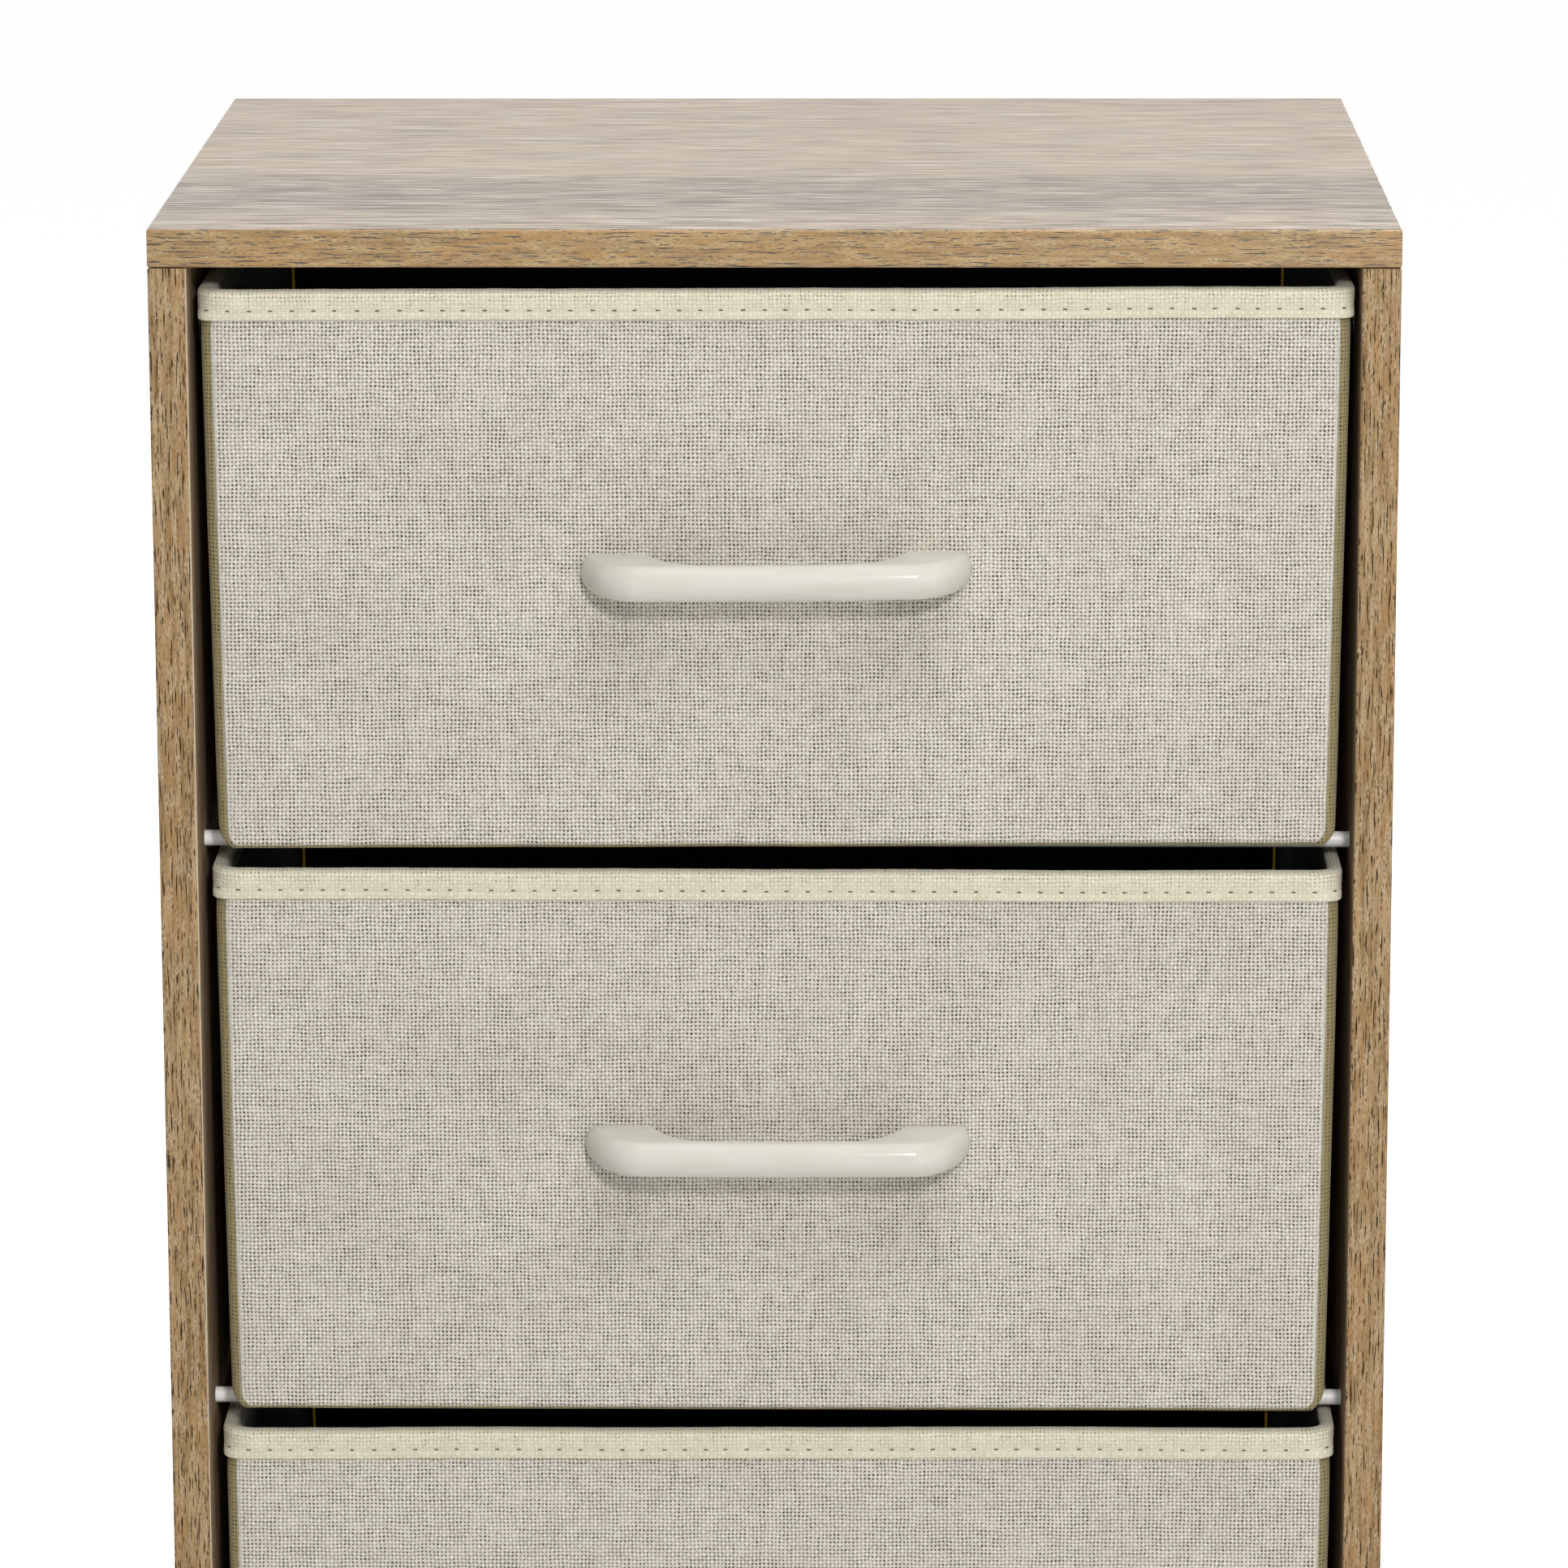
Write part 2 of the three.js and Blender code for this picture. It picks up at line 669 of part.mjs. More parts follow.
// One fitting of each kind at each corner of the cabinet
function fittings() {
  const group = new THREE.Group();
  for (const [sideName, side] of Object.entries(sides)) {
    for (const end of ['front', 'rear']) {
      const corner = `${end}_${sideName}`;
      const bolt = piece(`cam_bolt_${corner}`, camBolt(), finishes.zincSteel);
      bolt.position.set(side * panelCentreX, camPlaces[end], camHeight);
      const lock = piece(`cam_lock_${corner}`, camLock(), finishes.zincSteel);
      lock.position.set(side * (openingWidth / 2 + camRecess), camPlaces[end], camHeight);
      lock.rotation.z = side > 0 ? 0 : Math.PI;
      const peg = piece(`rail_dowel_${corner}`, dowel(), finishes.beechDowel);
      const pegCentre = openingWidth / 2 + dowelPanelDepth - dowelLength / 2;
      peg.position.set(side * pegCentre, railPlaces[end], railCentreHeight);
      peg.rotation.y = Math.PI / 2;
      const foot = piece(`glide_${corner}`, glide(), finishes.glidePlastic);
      foot.position.set(side * panelCentreX, glidePlaces[end], 0);
      group.add(bolt, lock, peg, foot);
    }
  }
  return group;
}

// Drawer, in a frame whose y = 0 is the fabric's front and z = 0 its underside
function drawer(number) {
  const group = new THREE.Group();
  const add = (name, geometry, finish) => {
    const mesh = piece(`drawer_${number}_${name}`, geometry, finish);
    group.add(mesh);
    return mesh;
  };
  add('fabric_box', fabricBox(), finishes.linen);
  add('rim_binding', rimBinding(), finishes.binding);
  add('lining', lining(), finishes.blackLining);
  add('front_board', frontBoard(), finishes.greyboard);
  add('back_board', backBoard(), finishes.greyboard);
  add('base_board', baseBoard(), finishes.blackLining);
  const pull = add('handle', handle(), finishes.handlePlastic);
  pull.position.set(0, -seatGap, drawerHeight / 2);
  for (const [sideName, side] of Object.entries(sides)) {
    add(`${sideName}_board`, sideBoard(side), finishes.greyboard);
    const screw = add(`${sideName}_screw`, handleScrew(), finishes.zincSteel);
    screw.position.set(side * handleScrewSpacing / 2, frontInteriorInset + seatGap, drawerHeight / 2);
  }
  group.position.set(0, drawerRecess + bindingStandoff, drawerFloor(number));
  return group;
}

const dresser = new THREE.Group();
dresser.add(cabinet());
for (let number = 1; number <= drawerCount; number += 1) {
  dresser.add(drawer(number));
}
dresser.position.y = cabinetFront;

export default dresser;
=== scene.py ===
import json
import math

import bpy
import numpy as np
from mathutils import Euler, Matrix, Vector, noise

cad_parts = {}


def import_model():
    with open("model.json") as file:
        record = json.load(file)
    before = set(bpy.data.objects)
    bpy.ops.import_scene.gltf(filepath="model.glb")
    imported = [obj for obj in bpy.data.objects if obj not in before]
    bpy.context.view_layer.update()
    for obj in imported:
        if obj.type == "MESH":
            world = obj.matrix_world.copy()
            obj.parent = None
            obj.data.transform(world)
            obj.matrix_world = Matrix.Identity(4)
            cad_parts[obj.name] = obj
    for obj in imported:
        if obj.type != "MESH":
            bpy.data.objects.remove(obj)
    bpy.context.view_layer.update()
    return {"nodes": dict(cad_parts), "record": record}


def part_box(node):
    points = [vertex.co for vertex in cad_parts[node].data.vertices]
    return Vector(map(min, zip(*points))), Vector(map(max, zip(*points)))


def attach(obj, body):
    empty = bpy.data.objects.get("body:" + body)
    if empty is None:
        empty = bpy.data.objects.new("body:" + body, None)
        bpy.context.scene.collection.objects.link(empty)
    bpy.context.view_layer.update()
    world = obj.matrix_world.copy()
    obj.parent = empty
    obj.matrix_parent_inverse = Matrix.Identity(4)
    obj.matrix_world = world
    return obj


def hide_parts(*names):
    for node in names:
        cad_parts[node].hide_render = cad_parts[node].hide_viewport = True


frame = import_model()

MM = 0.001
DRAWERS = (1, 2, 3)

# Camera, fitted to the photograph
CAMERA_PLACE = (0.03537, -2.28558, 0.93255)
CAMERA_TURN_DEGREES = (77.7604, 0.1198, 0.8405)
CAMERA_LENS = 162.48
CAMERA_SENSOR = 36
CAMERA_SHIFT_Y = -0.0756
CAMERA_CLIP = (0.05, 60)

# Cloth of the drawers
CLOTH_THICKNESS = 0.8 * MM
WALL_LEAN = 2.2 * MM
RIM_CORNER_RADIUS = 9 * MM
LOW_CORNER_RADIUS = 4 * MM
LEAST_CORNER_RADIUS = 0.3 * MM
CORNER_FLARE_DEPTH = 14 * MM
BASE_SIDE_RADIUS = 6 * MM
BASE_FRONT_RADIUS = 1.4 * MM
SEAM_FROM_SIDE = 3.2 * MM
SEAM_FLARE = 0.7 * MM
PANEL_STEP = 0.35 * MM
PANEL_STEP_WIDTH = 0.8 * MM
PANEL_SWELL = 0.5 * MM
SIDE_SWELL = 1.2 * MM
SIDE_SWELL_RUN = 60 * MM
SWELL_FADE = 25 * MM
WELT_HEIGHT = 1.0 * MM
FRONT_SAG_WAVE = 0.25 * MM
FRONT_SAG_WAVE_LENGTH = 34 * MM
FRONT_SAG_HEIGHT = 30 * MM
UNDERSIDE_MARGIN = 14 * MM
WEAVE_PITCH = 1.24 * MM

# How far across and how far up the cloth's soft swells and its puckers reach
SOFT_PATCH = (70 * MM, 50 * MM)
PUCKER_PATCH = (16 * MM, 22 * MM)

# How far each drawer's lower front edge hangs down, at its left and at its right
FRONT_SAG = {1: (1.3 * MM, -0.4 * MM), 2: (0.7 * MM, 0.8 * MM), 3: (0.8 * MM, 0.8 * MM)}

# How far each drawer's cloth stands out from its side boards, at its base and at its rim
SIDE_EASE = {1: (1.1 * MM, 1.6 * MM), 2: (0.3 * MM, 0.4 * MM), 3: (0.3 * MM, 0.4 * MM)}
CLOTH_SHIFT = 0.3 * MM

# Tape over the drawers' rims
TAPE_DROP = 9.4 * MM
TAPE_STANDOFF = 1.3 * MM
TAPE_THICKNESS = 0.8 * MM
TAPE_SIDE_INSIDE = 2.8 * MM
TAPE_FRONT_INSIDE = 4.9 * MM
TAPE_CORNER_FLARE = 0.5 * MM
TAPE_ROUGHNESS = 0.07 * MM
TAPE_ROUGHNESS_LENGTH = 0.9 * MM
TAPE_ROUGH_DROP = 0.3 * MM
TAPE_ROLL = 1.5 * MM
TAPE_ROLL_STEPS = 8
TAPE_HOLLOW_TOP = 2.4 * MM
TAPE_HOLLOW_GAP = 0.1 * MM
TAPE_PLACE_SHIFT = 0.35 * MM
RIM_SLOW_WAVE = 0.35 * MM
RIM_SLOW_LENGTH = 60 * MM
RIM_QUICK_WAVE = 0.12 * MM
RIM_QUICK_LENGTH = 9 * MM
RIM_RISE = {1: 0.0, 2: 0.0, 3: 0.8 * MM}
RIM_SLOPE = {1: 0.5 * MM, 2: -0.3 * MM, 3: 0.5 * MM}
STITCH_DROP = 6.2 * MM
STITCH_PITCH = 6.6 * MM
STITCH_GAP_SHARE = 0.2
STITCH_OUT_SHARE = 0.8
THREAD_RADIUS = 0.17 * MM
THREAD_SINK = 0.35 * MM
THREAD_LIFT = 0.4 * MM

# Handle
HANDLE_OUTER_REACH = 58.0 * MM
HANDLE_INNER_REACH = 40.5 * MM
HANDLE_END_LENGTH = 15 * MM
HANDLE_PROJECTION = 20.6 * MM
HANDLE_BOW = 0.9 * MM
HANDLE_GRIP_DEPTH = 19 * MM
HANDLE_HEIGHT = 11 * MM
HANDLE_BULGE = 2.8 * MM
HANDLE_END_POWER = 1.7
HANDLE_GRIP_POWER = 6
HANDLE_EDGE_RADIUS = 0.35 * MM
HANDLE_EDGE_STEPS = 3
HANDLE_EDGE_DEGREES = 50
HANDLE_SLOPE = {1: 0.01, 2: 0.0, 3: 0.0}
HANDLE_SHIFT = 0.6 * MM


# Node arithmetic


class Field:
    """One output in a material's node tree, with arithmetic."""

    def __init__(self, shade, socket):
        self.shade = shade
        self.socket = socket

    def __add__(self, other):
        return self.shade.math("ADD", self, other)

    def __sub__(self, other):
        return self.shade.math("SUBTRACT", self, other)

    def __rsub__(self, other):
        return self.shade.math("SUBTRACT", other, self)

    def __mul__(self, other):
        return self.shade.math("MULTIPLY", self, other)

    def __rmul__(self, other):
        return self.shade.math("MULTIPLY", other, self)

    def __truediv__(self, other):
        return self.shade.math("DIVIDE", self, other)

    def call(self, operation, *others):
        return self.shade.math(operation, self, *others)

    def ramp(self, low, high):
        """0 below low and 1 above high, with a smooth step between them."""
        made = self.shade.node("ShaderNodeMapRange", interpolation_type="SMOOTHSTEP")
        for socket, value in zip(made.inputs, (self, low, high, 0.0, 1.0)):
            self.shade.feed(socket, value)
        return Field(self.shade, made.outputs["Result"])


class Shade:
    """One material and the nodes that feed its shader."""

    def __init__(self, name):
        self.material = bpy.data.materials.new(name)
        self.material.use_nodes = True
        self.tree = self.material.node_tree
        self.shader = self.tree.nodes["Principled BSDF"]
        self.output = self.tree.nodes["Material Output"]

    def node(self, kind, **settings):
        made = self.tree.nodes.new(kind)
        for key, value in settings.items():
            setattr(made, key, value)
        return made

    def feed(self, socket, value):
        if isinstance(value, Field):
            self.tree.links.new(value.socket, socket)
        else:
            socket.default_value = value

    def math(self, operation, *values):
        made = self.node("ShaderNodeMath", operation=operation)
        for socket, value in zip(made.inputs, values):
            self.feed(socket, value)
        return Field(self, made.outputs[0])

    def vector(self, x, y, z=0.0):
        made = self.node("ShaderNodeCombineXYZ")
        for socket, value in zip(made.inputs, (x, y, z)):
            self.feed(socket, value)
        return Field(self, made.outputs[0])

    def split(self, source):
        made = self.node("ShaderNodeSeparateXYZ")
        self.feed(made.inputs[0], source)
        return [Field(self, socket) for socket in made.outputs]

    def place(self):
        """The point's x, y and z in the dresser's frame."""
        made = self.node("ShaderNodeTexCoord")
        return self.split(Field(self, made.outputs["Object"]))

    def facing(self):
        """The surface normal's x, y and z."""
        made = self.node("ShaderNodeNewGeometry")
        return self.split(Field(self, made.outputs["Normal"]))

    def cloth_place(self):
        """Distance round the cloth and up it, in metres."""
        made = self.node("ShaderNodeUVMap", uv_map="cloth")
        return self.split(Field(self, made.outputs[0]))[:2]

    def attribute(self, name):
        made = self.node("ShaderNodeAttribute", attribute_name=name)
        return Field(self, made.outputs["Fac"])

    def noise(self, vector, scale=1.0, detail=2.0, roughness=0.5):
        made = self.node("ShaderNodeTexNoise")
        names = ("Vector", "Scale", "Detail", "Roughness")
        for name, value in zip(names, (vector, scale, detail, roughness)):
            self.feed(made.inputs[name], value)
        return Field(self, made.outputs["Fac"])

    def streaks(self, u, v, size, seed, detail=2.0, roughness=0.5):
        """Noise whose patches have a size along u and along v, in millimetres."""
        place = self.vector(u / (size[0] * MM), v / (size[1] * MM), seed)
        return self.noise(place, 1.0, detail, roughness)

    def white(self, vector):
        """A random number for each value of the vector."""
        made = self.node("ShaderNodeTexWhiteNoise")
        self.feed(made.inputs["Vector"], vector)
        return Field(self, made.outputs["Value"])

    def mix(self, share, first, second):
        made = self.node("ShaderNodeMix", data_type="RGBA")
        colours = (made.inputs[6], made.inputs[7])
        self.feed(made.inputs[0], share)
        for socket, value in zip(colours, (first, second)):
            self.feed(socket, value)
        return Field(self, made.outputs[2])

    def bump(self, height):
        """Tilts the shading by a height in metres."""
        made = self.node("ShaderNodeBump")
        made.inputs["Distance"].default_value = 1.0
        self.feed(made.inputs["Height"], height)
        self.tree.links.new(made.outputs[0], self.shader.inputs["Normal"])

    def set(self, **values):
        for name, value in values.items():
            self.feed(self.shader.inputs[name.replace("_", " ")], value)


def rgb(red, green, blue):
    """A colour given as screen values from 0 to 255, as Blender's linear colour."""
    def linear(value):
        share = value / 255
        return share / 12.92 if share <= 0.04045 else ((share + 0.055) / 1.055) ** 2.4
    return (linear(red), linear(green), linear(blue), 1.0)


# Materials


def plain_weave(shade, u, v, hole_radius, wander, evenness):
    """Plain weave at (u, v): how open it is, how much it shines at a crossing where the warp
    lies on top, its height and a random tone of the thread. The hole's radius and the wander
    are in pitches. At an evenness of 1 every hole is as dark as the next."""
    a = u / WEAVE_PITCH + (shade.streaks(u, v, (7, 7), 3.7) - 0.5) * wander
    b = v / WEAVE_PITCH + (shade.streaks(u, v, (7, 7), 11.3) - 0.5) * wander
    warp = a.call("ROUND")
    weft = b.call("ROUND")
    from_warp = a - warp
    from_weft = b - weft
    hole_x = 0.5 - from_warp.call("ABSOLUTE")
    hole_y = 0.5 - from_weft.call("ABSOLUTE")
    from_hole = (hole_x.call("POWER", 2.0) + hole_y.call("POWER", 2.0)).call("SQRT")
    column = a.call("FLOOR")
    row = b.call("FLOOR")
    column_gap = shade.noise(shade.vector(column * 7.31, v / (9 * MM), 0.0), 1.0, 1.0)
    row_gap = shade.noise(shade.vector(u / (9 * MM), row * 5.77, 9.0), 1.0, 1.0)
    cell = shade.white(shade.vector(column, row, 4.0))
    gap = ((column_gap + row_gap) * 0.5).ramp(0.36, 0.64) * 0.65 + cell * 0.35
    edge = hole_radius * (gap * 0.4 + 0.8)
    depth = gap * (1 - evenness) + evenness
    openness = ((edge - from_hole) / (0.3 * hole_radius)).ramp(-1.0, 1.0) * depth
    over = ((warp + weft) * math.pi).call("COSINE")
    crossing = shade.white(shade.vector(warp, weft, 8.0))
    from_crossing = (from_warp.call("POWER", 2.0) * 1.4 + from_weft.call("POWER", 2.0)).call("SQRT")
    shine = (0.42 - from_crossing).ramp(0.0, 0.34) * over.call("MAXIMUM", 0.0) * (crossing * 0.5 + 0.5)
    ridges = (from_warp * math.pi).call("COSINE").call("MAXIMUM", (from_weft * math.pi).call("COSINE"))
    height = ridges * 0.4 + shine * 0.35 - openness * 0.3
    along_warp = shade.noise(shade.vector(warp * 3.17, v / (6 * MM), 5.0), 1.0, 1.0)
    along_weft = shade.noise(shade.vector(u / (6 * MM), weft * 4.31, 2.0), 1.0, 1.0)
    tone = along_warp * 0.5 + along_weft * 0.5
    return openness, shine, height, tone


def linen():
    shade = Shade("greige_linen")
    u, v = shade.cloth_place()
    openness, shine, height, tone = plain_weave(
        shade, u, v, hole_radius=0.255, wander=0.8, evenness=0.65)
    fleck = shade.streaks(u, v, (1.1, 0.7), 5.0, 2.0, 0.7)
    cloud = shade.streaks(u, v, (45, 45), 1.0, 3.0)
    body = shade.mix(tone.ramp(0.3, 0.7), rgb(209, 204, 190), rgb(229, 224, 211))
    warm = shade.mix(fleck.ramp(0.5, 0.75) * 0.4, body, rgb(234, 226, 209))
    lit = shade.mix(shine, warm, rgb(255, 255, 250))
    clouded = shade.mix(cloud.ramp(0.35, 0.7) * 0.14, lit, rgb(178, 168, 150))
    seam = shade.attribute("seam")
    past_seam = (seam * -1.0).ramp(0.0, 0.35 * MM)
    near_seam = (seam + 18 * MM).ramp(0.0, 12 * MM)
    welt = 1.0 - v.ramp(WELT_HEIGHT - 0.15 * MM, WELT_HEIGHT + 0.15 * MM)
    edge_tint_and_shade = (past_seam * near_seam).call("MAXIMUM", welt)
    # The turned-in side strip and the welt: the cloth's yellower khaki, and painted shade, darker
    # where the cloth turns away from the front.
    turned = shade.mix(edge_tint_and_shade * 0.92, clouded, rgb(148, 136, 88))
    folded = (seam - 0.4 * MM).ramp(0.0, 0.8 * MM).call("MAXIMUM", past_seam)
    # Painted shade: the weave's holes are darkened to the shade inside the gaps between the threads.
    hole = shade.mix(openness * folded, turned, rgb(50, 42, 30))
    # Painted shade: a dark line where the cloth creases at the seam and at the fold above the welt.
    from_welt = (v - WELT_HEIGHT - 0.2 * MM).call("ABSOLUTE")
    from_crease = seam.call("ABSOLUTE").call("MINIMUM", from_welt)
    crease = (0.3 * MM - from_crease).ramp(0.0, 0.25 * MM)
    crease_shaded = shade.mix(crease * 0.6, hole, rgb(92, 82, 58))
    shade.bump(height * (0.16 * MM) - crease * (0.1 * MM))
    shade.set(Base_Color=crease_shaded, Roughness=0.95, Sheen_Weight=0.1, Sheen_Roughness=0.5)
    return translucent(shade, rgb(196, 178, 96), 0.25)


def mix_shaders(tree, first, second, output):
    """Sends a mix of two nodes' shaders to the output: returns the socket of its share."""
    mixer = tree.nodes.new("ShaderNodeMixShader")
    tree.links.new(first.outputs[0], mixer.inputs[1])
    tree.links.new(second.outputs[0], mixer.inputs[2])
    tree.links.new(mixer.outputs[0], output.inputs["Surface"])
    return mixer.inputs[0]


def translucent(shade, colour, share):
    """Lets some light through a thin cloth from behind."""
    through = shade.node("ShaderNodeBsdfTranslucent")
    shade.feed(through.inputs["Color"], colour)
    mix_shaders(shade.tree, shade.shader, through, shade.output).default_value = share
    return shade.material


def rim_tape():
    shade = Shade("cream_tape")
    u, v = shade.cloth_place()
    openness, shine, height, tone = plain_weave(
        shade, u, v, hole_radius=0.22, wander=0.9, evenness=0.15)
    fleck = shade.streaks(u, v, (0.9, 0.6), 5.0, 2.0, 0.7)
    body = shade.mix(tone.ramp(0.3, 0.7), rgb(206, 199, 174), rgb(219, 214, 193))
    flecked = shade.mix((fleck.ramp(0.3, 0.7) - 0.5).call("ABSOLUTE") * 0.3, body, rgb(186, 178, 150))
    lit = shade.mix(shine * 0.6, flecked, rgb(244, 241, 228))
    over_rim = (v + 1.0 * MM).ramp(0.0, 1.2 * MM)
    shaded = shade.mix(over_rim * 0.4, lit, rgb(158, 157, 143))
    near_rim = (v + 0.75 * TAPE_DROP).ramp(0.0, 0.75 * TAPE_DROP)
    # Painted shade: the weave's holes are darkened to the shade inside them, most near the rim.
    pale = shade.mix(openness * (near_rim * 0.75 + 0.25), shaded, rgb(112, 106, 86))
    along = (u / STITCH_PITCH).call("FRACT") - 0.5
    wobble = (shade.white(shade.vector((u / STITCH_PITCH).call("FLOOR"), 0.0)) - 0.5) * 0.12
    beside = (along + wobble).call("ABSOLUTE")
    from_line = (v + STITCH_DROP).call("ABSOLUTE")
    on_line = (0.24 * MM - from_line).ramp(-0.1 * MM, 0.1 * MM)
    dash = (0.5 * STITCH_GAP_SHARE - beside).ramp(-0.02, 0.02) * on_line
    # Painted shade: darker in the groove that the stitch pulls into the tape.
    groove = (0.5 * MM - from_line).ramp(0.0, 0.4 * MM)
    groove_shaded = shade.mix(groove * 0.18, pale, rgb(168, 160, 136))
    # Painted shade: dark dashes in the needle holes where the thread dips into the tape.
    stitched = shade.mix(dash * 0.9, groove_shaded, rgb(66, 58, 40))
    shade.bump(height * (0.12 * MM) - dash * (0.2 * MM))
    shade.set(Base_Color=stitched, Roughness=0.92, Sheen_Weight=0.1, Sheen_Roughness=0.5)
    return translucent(shade, rgb(206, 190, 140), 0.1)


def sewing_thread():
    shade = Shade("cream_thread")
    x, y, z = shade.place()
    twist = ((x + y + z * 2.0) / (0.5 * MM) * math.pi).call("SINE")
    colour = shade.mix(twist.ramp(-1.0, 1.0), rgb(196, 189, 164), rgb(220, 215, 196))
    shade.bump(twist * (0.02 * MM))
    shade.set(Base_Color=colour, Roughness=0.8)
    return shade.material


def black_cloth():
    shade = Shade("black_nonwoven")
    x, y, z = shade.place()
    place = shade.vector(x, y, z)
    fibres = shade.noise(place, 1400.0, 3.0, 0.7)
    dimple = shade.noise(place, 420.0, 1.0)
    colour = shade.mix(fibres.ramp(0.3, 0.75), rgb(42, 42, 36), rgb(72, 72, 63))
    shade.bump(fibres * (0.05 * MM) + dimple * (0.05 * MM))
    shade.set(Base_Color=colour, Roughness=0.85, Sheen_Weight=0.05, Sheen_Roughness=0.6)
    return shade.material


def pores(shade, u, v, length, row, thickness, density, seed):
    """Dark dashes along u, one at most in each cell of a row: returns how dark the point is."""
    bend = shade.streaks(u, v, (26, 5), seed, 1.0)
    across = v / row + (bend - 0.5) * 1.6
    line = across.call("FLOOR")
    offset = shade.white(shade.vector(line, seed))
    along = u / length + offset * 13.0
    cell = along.call("FLOOR")
    presence = shade.white(shade.vector(line, cell, seed))
    size = shade.white(shade.vector(line, cell, seed + 1.0))
    shift = shade.white(shade.vector(line, cell, seed + 2.0))
    half = size * 0.36 + 0.1
    from_middle = (along - cell - 0.5).call("ABSOLUTE") / half
    taper = (1.0 - from_middle.call("POWER", 2.0)).call("MAXIMUM", 0.0)
    thin = taper * (0.5 * thickness / row)
    from_line = (across - line - 0.5 + (shift - 0.5) * 0.5).call("ABSOLUTE")
    soft = 0.07 * MM / row
    broken = shade.noise(shade.vector(u / (1.4 * MM), line * 3.0, seed), 1.0, 1.0).ramp(0.3, 0.42)
    inside = (thin - from_line).ramp(-soft, soft) * (1.0 - from_middle).ramp(0.0, 0.25) * broken
    return inside * (density - presence).ramp(0.0, 0.04)


# Each kind of pore's length, row height, thickness, share of filled cells and seed
LONG_PORES = (15 * MM, 1.5 * MM, 0.34 * MM, 0.7, 1.0)
SHORT_PORES = (6 * MM, 1.2 * MM, 0.32 * MM, 0.55, 21.0)
FINE_PORES = (2.4 * MM, 0.7 * MM, 0.2 * MM, 0.45, 51.0)


def grained(shade, u, v, tones):
    """Edge band's printed oak along u: its colour and how deep its pores are."""
    streak = shade.streaks(u, v, (45, 1.3), 0.3, 3.0, 0.6)
    broad = shade.streaks(u, v, (34, 6), 4.0)
    limed = shade.streaks(u, v, (12, 1.8), 8.0)
    speck = shade.streaks(u, v, (1.5, 0.32), 2.0, 3.0, 0.75)
    body = shade.mix(streak.ramp(0.3, 0.7), tones["dark"], tones["light"])
    toned = shade.mix(broad.ramp(0.45, 0.65) * 0.5, body, tones["gold"])
    pale = shade.mix(limed.ramp(0.45, 0.62) * speck.ramp(0.42, 0.6) * 0.75, toned, tones["pale"])
    grainy = shade.mix((1.0 - speck.ramp(0.36, 0.5)) * 0.45, pale, tones["shade"])
    long_pores = pores(shade, u, v, *LONG_PORES)
    short_pores = pores(shade, u, v + 0.7 * MM, *SHORT_PORES)
    fine_pores = pores(shade, u, v + 0.3 * MM, *FINE_PORES)
    pored = shade.mix(fine_pores * 0.65, grainy, tones["pore"])
    pored = shade.mix(short_pores * 0.85, pored, tones["pore"])
    pored = shade.mix(long_pores * 0.95, pored, tones["pore"])
    return pored, long_pores + short_pores * 0.7


OAK = {
    "dark": rgb(130, 99, 54),
    "light": rgb(160, 130, 80),
    "gold": rgb(161, 120, 62),
    "pale": rgb(180, 160, 120),
    "shade": rgb(96, 70, 38),
    "pore": rgb(36, 22, 10),
}
PINK_OAK = {
    "dark": rgb(133, 107, 74),
    "light": rgb(170, 144, 108),
    "gold": rgb(162, 128, 86),
    "pale": rgb(189, 171, 143),
    "shade": rgb(105, 82, 56),
    "pore": rgb(44, 30, 18),
}

DARK_BAND_MIDDLE = -66 * MM
DARK_BAND_HALF = 42 * MM


